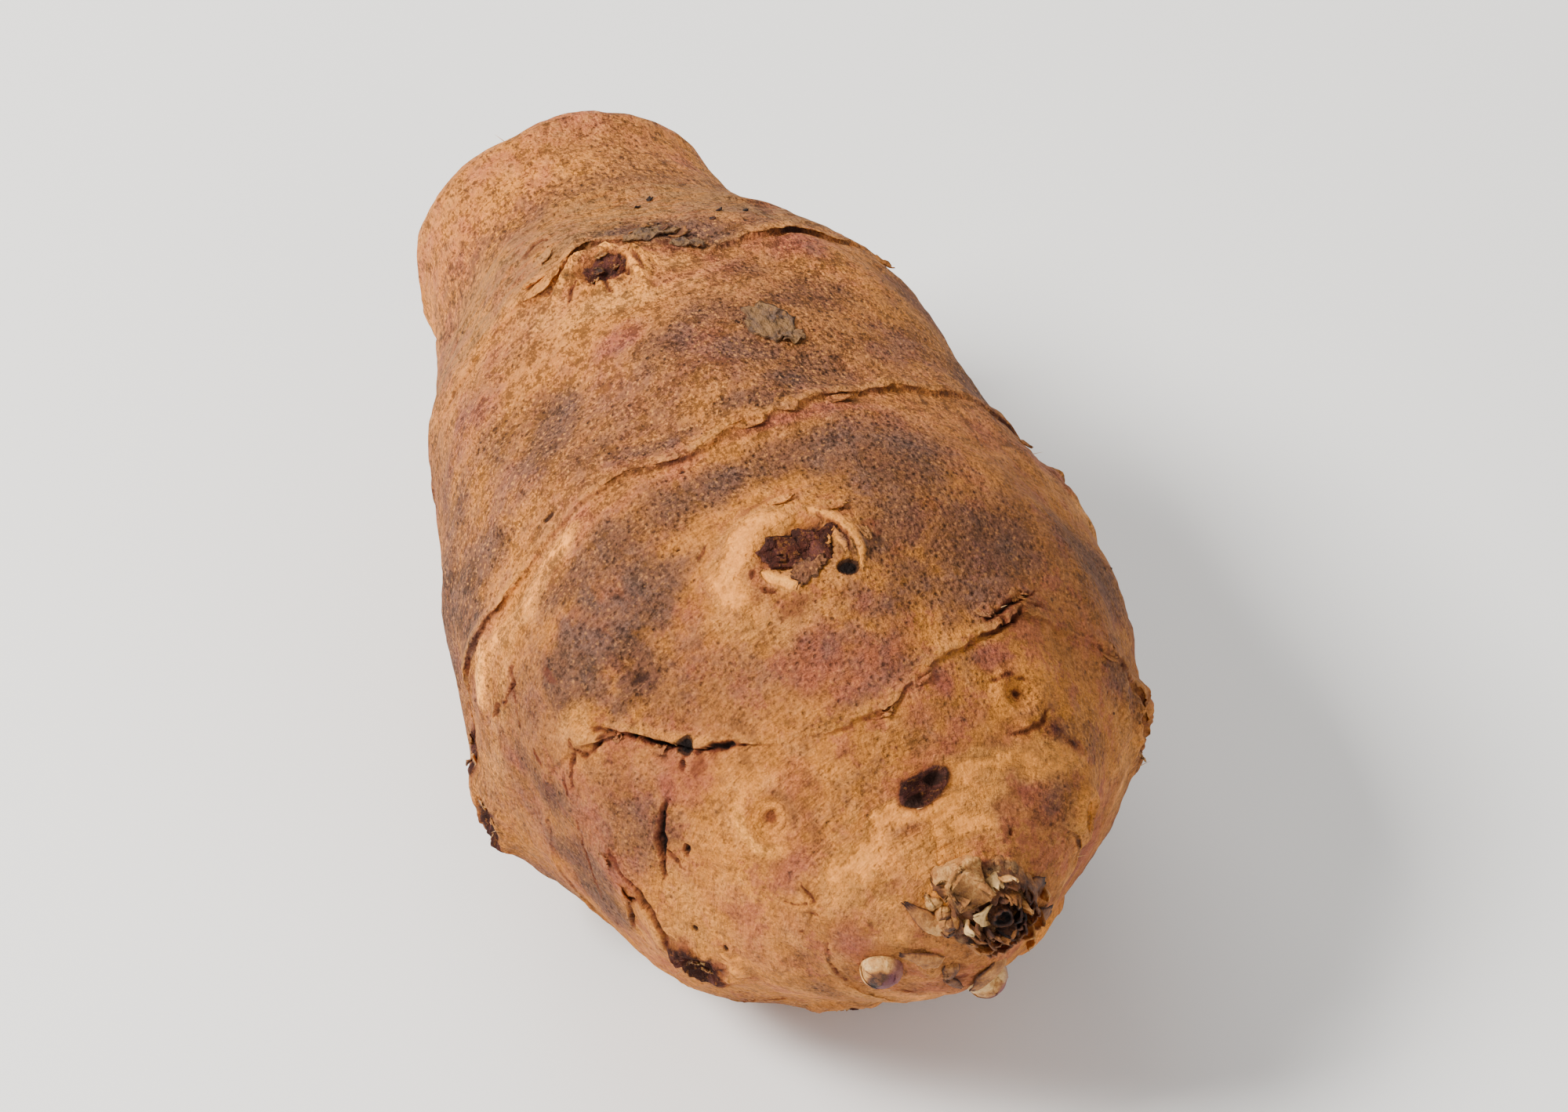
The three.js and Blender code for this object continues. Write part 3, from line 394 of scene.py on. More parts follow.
# Colour laid over the skin: along, around, reach along, reach round, strength.
skinPatches = {
    "dusk": [
        (10.7, -12, 2.2, 7, 0.5), (9.5, -33, 2.5, 5, 0.45), (20.4, -5, 1.3, 3.4, 1.1), (22, 3, 1.4, 3, 1.1),
        (23.8, 11, 1.8, 3.5, 1.0), (23.4, 22, 1.6, 4, 0.7), (36, -36, 3.6, 3.8, 0.95),
        (39, -39, 3, 3.8, 0.9), (34, -50, 3.4, 4, 0.7), (28.4, -62, 4, 5, 0.4), (35.2, -2, 2.8, 3.2, 0.7),
        (35.8, 3.5, 2.8, 3.2, 0.8), (37, -11, 2.4, 3.2, 0.75), (39.4, -16, 2, 2.8, 0.6),
        (40.4, 4, 2.8, 4, 0.8), (34.6, 13, 2.6, 3.2, 0.8), (34, 22, 3.2, 4, 0.8), (42.6, 13, 2.6, 3.6, 0.8),
        (29.4, 14, 2, 3, 0.5), (45.8, -1, 1.3, 3.8, 1.0), (44.6, 7, 1.7, 3.2, 1.0),
        (46.3, -18, 1.0, 3.8, 0.85), (45.6, -26, 1.2, 2.8, 0.6), (43.6, -32, 2.4, 3.6, 0.7),
        (42.2, -72, 3.2, 4.2, 1.25), (42.4, -60, 2.8, 4, 0.95), (34.6, -67, 3.6, 4, 0.7),
        (38, -81, 4.5, 5, 1.1), (44.9, -74, 1.7, 4.6, 1.3), (44.6, -86, 1.9, 4.4, 1.25),
        (38, -97, 4, 6, 1.0), (52.4, -45, 2.2, 3.2, 0.95), (57.8, -54, 3.0, 3.2, 1.4),
        (57.9, -40.4, 2.6, 0.7, 1.3), (59.6, -43.8, 3.0, 0.9, 1.4), (58.6, -47.6, 2.8, 0.8, 1.3),
        (57.2, -36.6, 2.2, 0.7, 1.2), (54.6, -43.4, 2.2, 0.8, 1.2), (57.4, -34, 2.6, 2.4, 1.25),
        (53, -33, 2.6, 3.4, 1.0), (52.4, -22, 2.3, 3.6, 0.95), (52.1, -13, 2.3, 3.6, 0.95),
        (52.1, -3, 2.4, 3.8, 1.0), (52.2, 7, 2.8, 4.4, 1.05), (57.0, -27, 1.4, 1.6, 0.55),
        (60.6, 11, 2.8, 3.4, 1.1), (55.5, 16, 5, 6, 1.1), (62, -47, 1.8, 2.6, 1.15),
        (62.6, -52.5, 1.3, 2, 0.9), (72.2, -1, 1.6, 2.8, 0.7), (73.8, -19, 0.9, 4, 0.6),
        # partly painted shadow: the dusk at (62.4, 25), (62, 3) and (65.4, 8), right of the open eye, is the
        # skin's own mottling made darker as painted shadow
        (66.8, 18, 2.8, 4.6, 0.9), (62.4, 25, 5, 7, 1.05), (65.6, -68, 2.2, 2.0, 0.3),
        (69.4, -72, 2.8, 3.2, 0.85), (68, -78, 4, 4, 0.5), (62, 3, 2.6, 3, 1.0), (65.4, 8, 2.4, 3, 0.9),
        (67.4, 3, 2, 2.6, 0.7), (79.2, -20, 1.6, 3.4, 0.55), (80.2, -32, 1.4, 3, 0.4),
        (78.4, -3, 1.4, 2.4, 0.4), (73.6, -14, 0.8, 3, 0.7), (74.4, -24, 0.6, 3, 0.5),
        (81.6, -46, 1.2, 2.4, 0.4), (84.8, -23, 0.8, 1.4, 0.55), (85.2, -30, 0.9, 1.6, 0.45),
        (70.6, -80, 1.2, 2, 0.6), (30, -76, 5, 6, 0.55), (25, -84, 4, 6, 0.5), (37, -70, 3, 4, 0.5),
        (27, -46, 2.4, 4, 0.3), (59.8, -83, 3.2, 2.2, 1.05), (56.4, -81, 2.4, 1.6, 0.75),
        (73.6, 18, 1.8, 3, 0.5), (76, 6, 1.8, 2.6, 0.35), (76.7, 36, 2.2, 3, 0.5), (84.2, 52, 2.6, 3, 0.6),
        (78.4, 45, 1.4, 2.4, 0.75), (62.4, -97, 4.4, 3, 1.0), (64.6, -106, 4, 3.2, 1.0),
        (83.2, -119, 1.5, 2.2, 0.75), (83.6, -101, 0.9, 1.2, 0.6), (77.4, 62, 2.6, 4, 0.7),
        # partly painted shadow: the dusk at (70.6, 70), near the folded eye at (69.6, 90), is mottling made
        # darker as painted shadow
        (70.6, 70, 2.4, 4, 0.8), (87.4, 26, 0.6, 0.6, 0.6), (41, 66, 6, 9, 1.0), (33, 110, 7, 10, 0.95),
        (57, 96, 6, 9, 0.95), (40, 150, 7, 10, 1.0), (42, -120, 5, 8, 0.95), (36, -150, 6, 9, 0.9),
        (55, -137, 6, 8, 0.95), (58, -170, 6, 9, 0.9), (70, 120, 5, 7, 0.8), (19, 90, 3, 9, 0.8),
        (19, -120, 3, 9, 0.8), (19.5, 170, 3, 9, 0.8), (72, -150, 5, 7, 0.8), (44, 100, 4, 9, 0.9),
        (61, 62, 4, 7, 0.9), (60, 130, 4, 7, 0.8), (30, 60, 4, 7, 0.7), (82.4, 100, 2.5, 4, 0.6),
    ],
    "pale": [
        (77.6, -108, 1.2, 1.6, 0.9), (74.9, -99, 1.0, 1.4, 0.7), (64, -24, 1.6, 1.8, 0.7),
        (66.4, -18, 1.2, 2.6, 0.5), (82.1, -94, 2.4, 3.6, 0.35), (57.9, -14, 0.8, 2.2, 0.6),
        (59.2, -18, 1.0, 1.4, 0.5), (60.2, 4.4, 1.0, 0.7, 0.4), (63.2, -27, 1.2, 2.2, 0.55),
        (65.6, -14, 1.2, 3.4, 0.35), (64.6, -7, 1.0, 1.4, 0.4), (26.2, -30, 1.4, 2.2, 0.5),
        (28.5, -22, 1.2, 3.2, 0.7), (30, -15, 0.9, 3.4, 0.7), (30.4, -7, 0.9, 2.8, 0.5),
        (30, -2, 1.2, 2, 0.35), (25.4, -5, 1.3, 1.1, 0.65), (26.6, -2, 1.5, 1.6, 0.55),
        (82, 8, 1.2, 2.4, 1.1), (81.4, 18, 1.0, 2.8, 1.0), (84, 12, 1.4, 2.6, 0.8),
        (81.6, 33, 1.2, 3.2, 0.95), (80.4, 46, 1.3, 2.6, 0.8), (84.2, -1, 1.0, 2.2, 1.15),
        (83.6, -17, 0.8, 1.6, 1.1), (82.8, -24, 0.8, 1.6, 1.0), (86.4, -2, 1.3, 2.6, 1.1),
        (86, 6, 1.4, 2.4, 0.95), (87.6, -9, 1.2, 2, 0.8), (84.6, -41, 1.4, 2.8, 1.2),
        (84, -51, 1.2, 2.4, 1.0), (85.6, -58, 1.5, 2.2, 0.8), (86, -36, 1.6, 2.2, 0.75),
        (89.6, -24, 1.4, 1.8, 0.6), (90.6, -40, 1.2, 1.4, 0.9), (49.2, -72, 1.2, 2.4, 0.9),
        (52.4, -90, 2.0, 4, 0.5), (60.4, -61.5, 1.1, 1.7, 0.8), (77.1, -49, 3.4, 3.4, 0.35),
        (75.4, -102, 1.2, 1.8, 0.6), (73.2, -82, 1.2, 1.8, 0.45), (84.6, 70, 2, 3, 0.5),
        (88, -30, 2.2, 2.6, 0.6), (88.4, -56, 2, 2.6, 0.6), (90, -76, 1.6, 1.6, 0.6),
        (91, -100, 1.4, 1.8, 0.5), (88.6, -12, 1.6, 2.4, 0.7), (77.4, -88, 4, 6, 0.3),
        (80, -112, 3, 6, 0.3), (74, -94, 3, 4, 0.4), (68, -112, 3, 5, 0.3), (25, 100, 3, 6, 0.4),
        (50.5, 110, 2, 7, 0.7), (50, 150, 2, 6, 0.6), (50.5, -140, 2, 6, 0.6), (86, 110, 2.5, 4, 0.7),
        (86.5, -150, 2.5, 4, 0.7), (66, 146, 2, 4, 0.6), (74, 90, 2, 5, 0.6), (53.5, 76, 2, 5, 0.6),
        (29.5, 164, 2, 5, 0.6), (81, -160, 2, 3, 0.6), (73.4, 150, 2, 5, 0.5), (30, -100, 2, 5, 0.4),
    ],
    "blush": [
        (29.4, -56, 4, 4, 0.5), (33.6, -19, 1.4, 2.6, 0.95), (27.3, 27, 2, 3.2, 0.9),
        (26.2, 18, 1.6, 2, 0.6), (69.4, -16, 2.6, 3, 0.95), (71, -4, 2.2, 3.6, 0.85),
        (72.6, -12, 1.6, 3, 0.8), (63.6, -38, 2, 3, 0.5), (73.2, 22.5, 1.3, 1.7, 1.25),
        (74.5, 7.5, 1.1, 1.1, 0.95), (76.6, 0, 1.2, 2, 0.6), (77.2, 14, 1.2, 1.8, 0.5),
        (55.4, -84.5, 2, 1.4, 0.75), (80.6, -60, 1.2, 2.2, 0.8), (83.2, 33, 1.4, 2, 0.75),
        (84.9, 46, 2, 2.5, 0.7), (85.6, 24, 1.2, 2, 0.5), (68.9, -60, 1.2, 1.3, 0.9),
        (67.1, -53, 1.5, 3, 0.45), (87.2, -88, 1.5, 2.4, 0.75), (87, -76, 1.2, 1.4, 0.6),
        (80, -100, 2, 3, 0.5), (82.6, -84, 2, 3, 0.45), (49.6, -30, 1.0, 5, 0.5), (48.6, 2, 0.8, 5, 0.85),
        (48.4, 12, 0.8, 4, 0.8), (52.5, -62, 2, 2, 0.3), (63, -93, 2, 3, 0.5), (30, 70, 4, 8, 0.6),
        (62, 95, 4, 7, 0.6), (80, 110, 3, 5, 0.6), (32, -120, 4, 8, 0.6), (72, -170, 4, 7, 0.6),
        (55, 130, 3, 6, 0.5), (6, -60, 3, 6, 0.4), (6, 120, 3, 7, 0.5), (50, 60, 2, 6, 0.6),
    ],
    "rust": [
        (70, -51.5, 0.8, 0.9, 1.2), (70.3, -46.5, 0.5, 0.7, 1.1), (56.6, -58.5, 0.9, 0.5, 1.2),
        (58.3, -76, 0.8, 0.45, 1.3), (55.9, -11, 0.35, 1.7, 1.1), (60.4, 4.6, 0.6, 0.8, 1.1),
        (61.5, 4.8, 0.45, 0.6, 0.9), (58.3, -1.6, 0.35, 0.5, 1.0), (64.9, -16, 1.2, 1.3, 1.0),
        (63, -20.6, 0.5, 0.6, 0.8), (45.4, -48, 0.6, 0.7, 0.6), (32.9, -17, 0.8, 1.0, 0.6),
        (18.2, -28, 0.35, 1.8, 0.8), (87.8, -75, 0.6, 0.8, 0.7), (60.2, -34, 0.5, 0.5, 0.6),
        (47, -82, 0.4, 3, 0.8), (92.6, -152, 0.6, 0.8, 1.2), (91.6, -164, 0.5, 0.6, 1.2),
        (66.3, -67, 0.9, 0.9, 0.6), (70.4, 84, 0.7, 1.0, 0.8), (69, -95, 0.9, 3, 0.55),
        (69.4, -104, 0.9, 4, 0.5),
    ],
    "ink": [
        (63.8, -3.1, 0.6, 0.7, 1.9), (49.5, -18, 0.3, 0.35, 0.8), (45.4, -43, 0.4, 0.8, 0.9),
        (77.1, -49, 0.3, 0.34, 0.5), (75.9, 29, 0.5, 0.6, 0.6), (72.9, -72, 0.35, 0.55, 0.9),
        (55.9, -26, 0.3, 0.35, 0.7), (21, -1, 0.3, 1.0, 1.0), (20.2, -4, 0.25, 0.6, 0.9),
        (54.6, -12, 0.3, 0.4, 0.6), (61.9, -47, 0.7, 1.0, 0.7), (60.6, -51, 0.4, 0.5, 0.6),
        (74.5, -97, 0.3, 0.4, 1.0), (77, -102, 0.3, 0.4, 0.8), (77.5, 142, 0.4, 0.4, 1.0),
        (83, 72, 0.3, 0.3, 1.0), (36, 84, 0.3, 0.3, 1.0), (68.3, -50.6, 0.6, 0.7, 1.7),
        (83.0, -11.6, 0.7, 1.0, 0.95), (81.8, -2, 0.6, 0.9, 0.95),
    ],
    "scab": [
        (60.4, -9, 1.5, 2.6, 0.7), (24.5, -15.5, 1.15, 1.55, 1.15), (25.4, -19.5, 0.7, 0.7, 0.6),
        (82.5, -11, 1.1, 1.1, 1.2), (81.8, -2.5, 0.9, 1.3, 1.2), (82.2, -7, 1.15, 1.7, 1.2),
        (73.7, -112.5, 1.9, 2.5, 1.15), (73.0, -108, 0.9, 1.2, 0.85), (50.8, -112, 1.6, 2.2, 1.0),
        (69.6, 90, 1.6, 2.0, 1.0), (50, 77, 1.6, 2.2, 1.0), (26, 164, 1.2, 1.8, 1.0),
        (62, 146, 1.5, 1.9, 1.0), (77, -158, 1.2, 1.3, 1.0), (47.4, -101, 1.3, 2.0, 0.85),
        (78.3, 42, 0.8, 1.0, 0.55), (79, 49, 0.7, 0.9, 0.5), (68.6, -97, 0.4, 0.7, 0.5),
        (53, -73, 0.4, 0.6, 0.5),
    ],
}

# The mesh of the skin, in millimetres.
skinGrid = {
    "columns": 216,
    "rowSpacing": 0.7,
    "faceRows": 26,
    "behindRim": [0.25, 0.6, 1.1],
    "besideScar": [-1.5, -1.0, -0.6, -0.35, -0.15, 0.0, 0.14, 0.3, 0.5, 0.8, 1.2, 1.7],
    # the longest edge allowed on plain skin, on the broken end, beside scars and at fine marks
    "plainEdge": 1.2,
    "faceEdge": 0.6,
    "scarEdge": 0.45,
    "fineEdge": 0.34,
    "rounds": 3,
}


def smooth(value, low, high):
    share = np.clip((value - low) / (high - low), 0, 1)
    return share * share * (3 - 2 * share)


def bump(value, width):
    return np.exp(-((value / width) ** 2))


def grain(points, size, seed=0):  # smooth random heights, about -1 to 1, with lumps of the given size
    shifted = points / size + np.array([7.3, 3.1, 5.7]) * (seed + 1)
    heights = [noise.noise(point) for point in shifted.reshape(-1, 3).tolist()]
    return np.array(heights).reshape(shifted.shape[:-1])


def grains(points, layers):  # grain of several sizes laid on each other
    return sum(height * grain(points, size, seed) for height, size, seed in layers)


def wobble(points, size, seed):  # grain three ways at once
    return np.stack([grain(points, size, seed + k) for k in (0, 1, 2)], -1)


stations = np.array(tuberForm["stations"])
stationEnds = np.vstack([2 * stations[0] - stations[1], stations, stations[-2] * (1, -1, 1, 1)])


def stationAt(place):  # the smooth curve through the stations, worked out from the four nearest
    start = np.minimum(np.floor(place).astype(int), len(stations) - 2)
    u = (place - start)[..., None]
    a, b, c, d = (stationEnds[start + k] for k in range(4))
    squared, cubed = 2 * a - 5 * b + 4 * c - d, 3 * b - a - 3 * c + d
    return 0.5 * (2 * b + (c - a) * u + squared * u ** 2 + cubed * u ** 3)


stepsPerStation = 100
stationPlaces = np.linspace(0, len(stations) - 1, stepsPerStation * (len(stations) - 1) + 1)
stationCurve = stationAt(stationPlaces)
skinRun = np.concatenate([[0], np.cumsum(np.hypot(*np.diff(stationCurve[:, :2], axis=0).T))])
skinLength = skinRun[-1]


def sectionAt(along):
    return stationAt(np.interp(np.clip(along, 0, skinLength), skinRun, stationPlaces))


def bodyAt(along, angle):  # point and outward direction of the smooth body
    x, radius, shift, lift = np.moveaxis(sectionAt(along), -1, 0)
    before, after = sectionAt(along - 0.25), sectionAt(along + 0.25)
    forward, outward = after[..., 0] - before[..., 0], after[..., 1] - before[..., 1]
    flat = tuberForm["flattening"]
    point = np.stack([x, shift + radius * np.sin(angle), lift + flat * radius * np.cos(angle)], -1)
    normal = np.stack([-outward, forward * np.sin(angle), forward * np.cos(angle)], -1)
    return point, normal / np.linalg.norm(normal, axis=-1, keepdims=True)


def skinSpot(along, around):  # a place's point and its outward, onward and sideways directions
    along, angle = np.array(float(along)), np.array(math.radians(around))
    point, normal = bodyAt(along, angle)
    forward = bodyAt(along + 0.5, angle)[0] - bodyAt(along - 0.5, angle)[0]
    forward -= normal * forward.dot(normal)
    forward /= np.linalg.norm(forward)
    return point, normal, forward, np.cross(normal, forward)


scarStep = 0.5  # degrees
scarRadius = 22  # of the circle that the tears are drawn on


def scarTable(scar, seed):  # along and strength of a scar at every step round, with its torn wander
    path = np.array(scar["path"], float)
    ends = np.vstack([path[-1] - (360, 0, 0), path, path[:2] + (360, 0, 0)])
    turns = np.arange(0, 360, scarStep) + path[0, 0]
    start = np.searchsorted(path[:, 0], turns, side="right") - 1
    a, b, c, d = (ends[start + k] for k in range(4))
    span = c[:, :1] - b[:, :1]
    u = (turns[:, None] - b[:, :1]) / span
    leave = (c - a) / (c[:, :1] - a[:, :1]) * span
    arrive = (d - b) / (d[:, :1] - b[:, :1]) * span
    curve = ((2 * u ** 3 - 3 * u ** 2 + 1) * b + (u ** 3 - 2 * u ** 2 + u) * leave
             + (3 * u ** 2 - 2 * u ** 3) * c + (u ** 3 - u ** 2) * arrive)
    circle = np.stack([np.cos(np.radians(turns)), np.sin(np.radians(turns)), 0 * turns], -1) * scarRadius
    wander = scar["torn"] * grains(circle, [(1.0, 3.0, seed), (0.6, 1.2, seed + 3)])
    fading = 0.62 + 0.75 * grain(circle, 7.0, seed + 7) + 0.35 * grain(circle, 2.5, seed + 9)
    return turns, curve[:, 1] + wander, np.clip(curve[:, 2] * fading, 0.12, 1.05)


scarTables = [scarTable(scar, 11 * k) for k, scar in enumerate(leafScars)]
scarMeans = [float(np.mean([point[1] for point in scar["path"]])) for scar in leafScars]


def scarAt(k, angle):
    turns, along, strength = scarTables[k]
    degrees = np.degrees(angle)
    return np.interp(degrees, turns, along, period=360), np.interp(degrees, turns, strength, period=360)


def bentAlong(nominal, angle):  # rows bend with the scars, so that each scar runs along mesh edges
    moved = np.zeros_like(nominal)
    anchors = [0.0, *scarMeans, float(skinLength)]
    for k, mean in enumerate(scarMeans):
        share = np.interp(nominal, [anchors[k], mean, anchors[k + 2]], [0, 1, 0])
        moved += share * (scarAt(k, angle)[0] - mean)
    return nominal + moved


def lineTrack(line, parts=12):  # points of the smooth body along a line of places
    line = np.array(line, float)
    steps = np.linspace(0, len(line) - 1, parts * (len(line) - 1) + 1)
    return bodyAt(np.interp(steps, range(len(line)), line[:, 0]),
                  np.radians(np.interp(steps, range(len(line)), line[:, 1])))[0]


def nearLine(points, line, reach):  # which points are near a line, how far off, and its width share there
    track = lineTrack(line)
    middle = (track.min(0) + track.max(0)) / 2
    halfLength = np.linalg.norm(track - middle, axis=1).max()
    index = np.flatnonzero(np.linalg.norm(points - middle, axis=1) < reach + halfLength)
    away = np.linalg.norm(points[index][:, None] - track[None], axis=2)
    taper = np.sin(np.pi * (0.06 + 0.88 * away.argmin(1) / (len(track) - 1))) ** 0.6
    return index, away.min(1), taper


def crackDistance(points):  # distance to the nearest crack in half widths, and that crack's depth
    nearest = np.full(len(points), 99.0)
    depth = np.zeros(len(points))
    jagged = points + 0.34 * wobble(points, 1.5, 40) + 0.16 * wobble(points, 0.6, 43)
    for wide, deep, line in skinCracks:
        index, away, taper = nearLine(jagged, line, 3)
        distance = away / (wide * taper)
        closer = distance < nearest[index]
        nearest[index[closer]] = distance[closer]
        depth[index[closer]] = deep * taper[closer]
    return nearest, depth


def foldField(points):  # height and paleness of the raised folds
    height, paleness = 0.9 * patchField(points, swellings), np.zeros(len(points))
    jagged = points + 0.3 * wobble(points, 1.8, 50) + 0.1 * wobble(points, 0.6, 53)
    for wide, high, pale, line in skinFolds:
        index, away, taper = nearLine(jagged, line, 3 * wide)
        shape = bump(away, wide * (0.4 + 0.6 * taper)) * np.minimum(1, 1.6 * taper)
        height[index] += high * shape
        paleness[index] = np.maximum(paleness[index], pale * shape)
    return height, paleness


def patchField(points, patches, sharp=False):  # the strongest patch at each point, fading from its middle
    field = np.zeros(len(points))
    drift = wobble(points, 3.4, 46) + 0.5 * wobble(points, 1.3, 49)
    for along, around, longReach, wideReach, strength in patches:
        spot, _, forward, sideways = skinSpot(along, around)
        size = min(longReach, wideReach)
        away = points + 0.55 * min(size, 2.5) * drift - spot
        near = np.linalg.norm(away, axis=1) < 3 * max(longReach, wideReach)
        out = np.hypot(away[near] @ forward / longReach, away[near] @ sideways / wideReach)
        shape = np.clip(1.6 - out, 0, 1.6) / 1.6 if sharp else np.exp(-out ** 2.6)
        field[near] = np.maximum(field[near], strength * shape)
    return field


def aroundEye(points, along, around, wide, long):
    # which points are near an eye, their way from it, how far out they are, 1 at its edge, and their turn
    spot, _, forward, sideways = skinSpot(along, around)
    away = points - spot
    near = np.flatnonzero(np.linalg.norm(away, axis=1) < 2.4 * wide)
    away = away[near]
    across, ahead = away @ sideways / wide, away @ forward / long
    return near, away, np.hypot(across, ahead), np.arctan2(across, ahead)


def foldWaves(points, out, turn):  # irregular folds that run outwards from a torn eye
    around = np.stack([2.6 * np.cos(turn), 2.6 * np.sin(turn), 0.8 * out], -1)
    return grains(around, tuberForm["foldGrain"]) + 0.3 * grain(points, 0.8, 35)


def eyeRelief(points):
    height = np.zeros(len(points))
    openPit = {"folded": 0.6, "scabbed": 0.4}  # how much of the pit is left open
    for along, around, wide, long, mound, collar, pit, kind in eyes:
        near, _, out, turn = aroundEye(points, along, around, wide, long)
        hole = openPit.get(kind, 1) * (pit + 0.4 * mound) * (1 - smooth(out, 0.1, 0.6))
        relief = mound * bump(out, 1) + collar * bump(out - 0.66, 0.2) - hole
        if kind in ("ringed", "bright"):
            relief += 0.025 * np.cos(out * 22) * smooth(out, 0.12, 0.25) * (1 - smooth(out, 0.75, 1.0))
            relief -= 0.22 * bump(out, 0.12)
        if kind == "folded":
            relief += 0.34 * foldWaves(points[near], out, turn) * bump(out - 0.5, 0.38)
        if kind == "scabbed":
            relief += 0.07 * np.sin(7 * turn + 3) * bump(out - 0.55, 0.2)
            relief += 0.06 * np.cos(out * 15) * bump(out - 0.85, 0.35)
        height[near] += relief
    return height


def eyePaint(points):  # rings round the smooth eyes with their side towards the light, for painted light and shade, and the dark and pale folds of the torn ones, for painted shade and highlight
    rings, lit = np.full(len(points), 6.0), np.zeros(len(points))
    folds = np.zeros(len(points))
    for along, around, wide, long, *_, kind in eyes:
        near, away, out, turn = aroundEye(points, along, around, wide, long)
        if kind in ("ringed", "bright"):
            closer = 3 * out < rings[near]
            rings[near[closer]] = 3 * out[closer]
            toLight = brightEyeLitSide if kind == "bright" else 0.1 * litSide
            lit[near] = away @ toLight / (0.3 + np.linalg.norm(away, axis=1))
        elif kind == "folded":
            waves = np.clip(1.6 * foldWaves(points[near], out, turn), -1.5, 1.5)
            folds[near] = waves * bump(out - 0.55, 0.32)
    return {"ringRadius": rings, "ringLit": lit, "folds": folds}


def crownFrame():  # the crown's middle on the smooth body, with its outward, onward and sideways directions
    return skinSpot(crown["along"], crown["around"])


def crownShape(points):  # the lump under the crown's scales: its height, and how far a point belongs to it
    spot, _, forward, sideways = crownFrame()
    middle = spot + forward * crown["middle"][0] + sideways * crown["middle"][1]
    away = np.linalg.norm(points - middle, axis=1) + 0.5 * grain(points, 1.6, 26)
    inside = 1 - smooth(away / crown["radius"], 0.7, 1.12)
    lumps = grains(points, tuberForm["crownGrain"])
    pit = bump(np.linalg.norm(points - spot, axis=1), crown["pitRadius"])
    return inside * (crown["height"] + lumps) - crown["pit"] * pit, inside


def rimTear(angle):
    return sum(size * np.sin(waves * angle + phase) for size, waves, phase in tuberForm["rimTears"])


def skinFrom(along, angle):  # points of the finished skin, and everything painted on it
    base, normal = bodyAt(along, angle)
    waves = sum(size * np.sin(base @ (alongX, alongY, alongZ) + phase)
                for size, alongX, alongY, alongZ, phase in tuberForm["unevenness"])
    height = waves - tuberForm["rimDrop"] * (1 - smooth(along, 0, 1.2))
    for spotAlong, around, swell, reach in tuberForm["swellings"]:
        height += swell * bump(np.linalg.norm(base - skinSpot(spotAlong, around)[0], axis=1), reach)
    past, pastStrength = np.full(len(base), 30.0), np.zeros(len(base))
    shadowSide = np.zeros(len(base))
    for k, scar in enumerate(leafScars):
        scarAlong, strength = scarAt(k, angle)
        away = along - scarAlong
        lip = np.where(away < 0, bump(away, scar["lipWidth"]), bump(away, scar["sharp"]))
        height += strength * (scar["lip"] * lip - scar["groove"] * strength * bump(away - 0.35, 0.38))
        nearer = np.abs(away) < np.abs(past)
        past = np.where(nearer, away, past)
        pastStrength = np.where(nearer, strength * scar["marked"], pastStrength)
        shadowSide = np.maximum(shadowSide, scar["shadow"] * bump(away + 7.0, 7.0) * (away < 0))
    lump, rot = crownShape(base)
    foldHeight, foldPale = foldField(base)
    height += eyeRelief(base) + lump + foldHeight
    crackGap, crackDepth = crackDistance(base)
    height -= crackDepth * (1 - smooth(crackGap, 0.25, 1.0))
    height += 0.22 * crackDepth * bump(crackGap - 1.5, 0.5)
    rough = patchField(base, skinPatches["scab"], sharp=True)
    scabRough = smooth(rough + 0.12 * grain(base, 0.7, 5), 0.35, 0.55)
    height += scabRough * (grains(base, tuberForm["scabGrain"]) + 0.16)
    ink = patchField(base, skinPatches["ink"])
    height -= 0.35 * smooth(ink, 0.3, 0.9)
    wrinkles = np.stack([along, base[:, 1], base[:, 2]], -1) / tuberForm["wrinkleSize"]
    height += grains(base, tuberForm["skinGrain"])
    height += grains(wrinkles, tuberForm["wrinkles"])
    point = base + normal * height[:, None]
    point[:, 0] += rimTear(angle) * (1 - smooth(along, 0, tuberForm["tearReach"]))
    fields = {"alongSkin": along, "scarPast": np.clip(past, -12, 12), "scarStrength": pastStrength,
              "crackGap": np.clip(crackGap, 0, 6), "crackDeep": crackDepth, "scab": rough,
              "shadowSide": shadowSide, "rot": rot, "flesh": 0 * along, "ink": ink}
    for name in ("dusk", "pale", "blush", "rust"):
        fields[name] = patchField(base, skinPatches[name])
    fields["pale"] = np.maximum(fields["pale"], foldPale)
    fields.update(eyePaint(base))
    patchy = smooth(grain(base, 5.0, 44) + 0.5 * fields["dusk"], 0.1, 0.7)
    above = smooth(base[:, 2], -17, -12)  # nothing clings to the underside
    torn = 1.2 * bump(past - 0.15, 0.25) * pastStrength + 1.5 * bump(crackGap - 1, 0.4)
    torn = torn + smooth(rough, 0.1, 0.5)
    fields["crumbs"] = patchy * (0.25 + fields["dusk"] + 2.0 * bump(past - 0.5, 0.5)) * above
    fields["fibres"] = (torn + 3 * bump(along, 0.3)) * above
    return point, fields


def skinSurface(nominal, angle):
    return skinFrom(bentAlong(nominal, angle), angle)


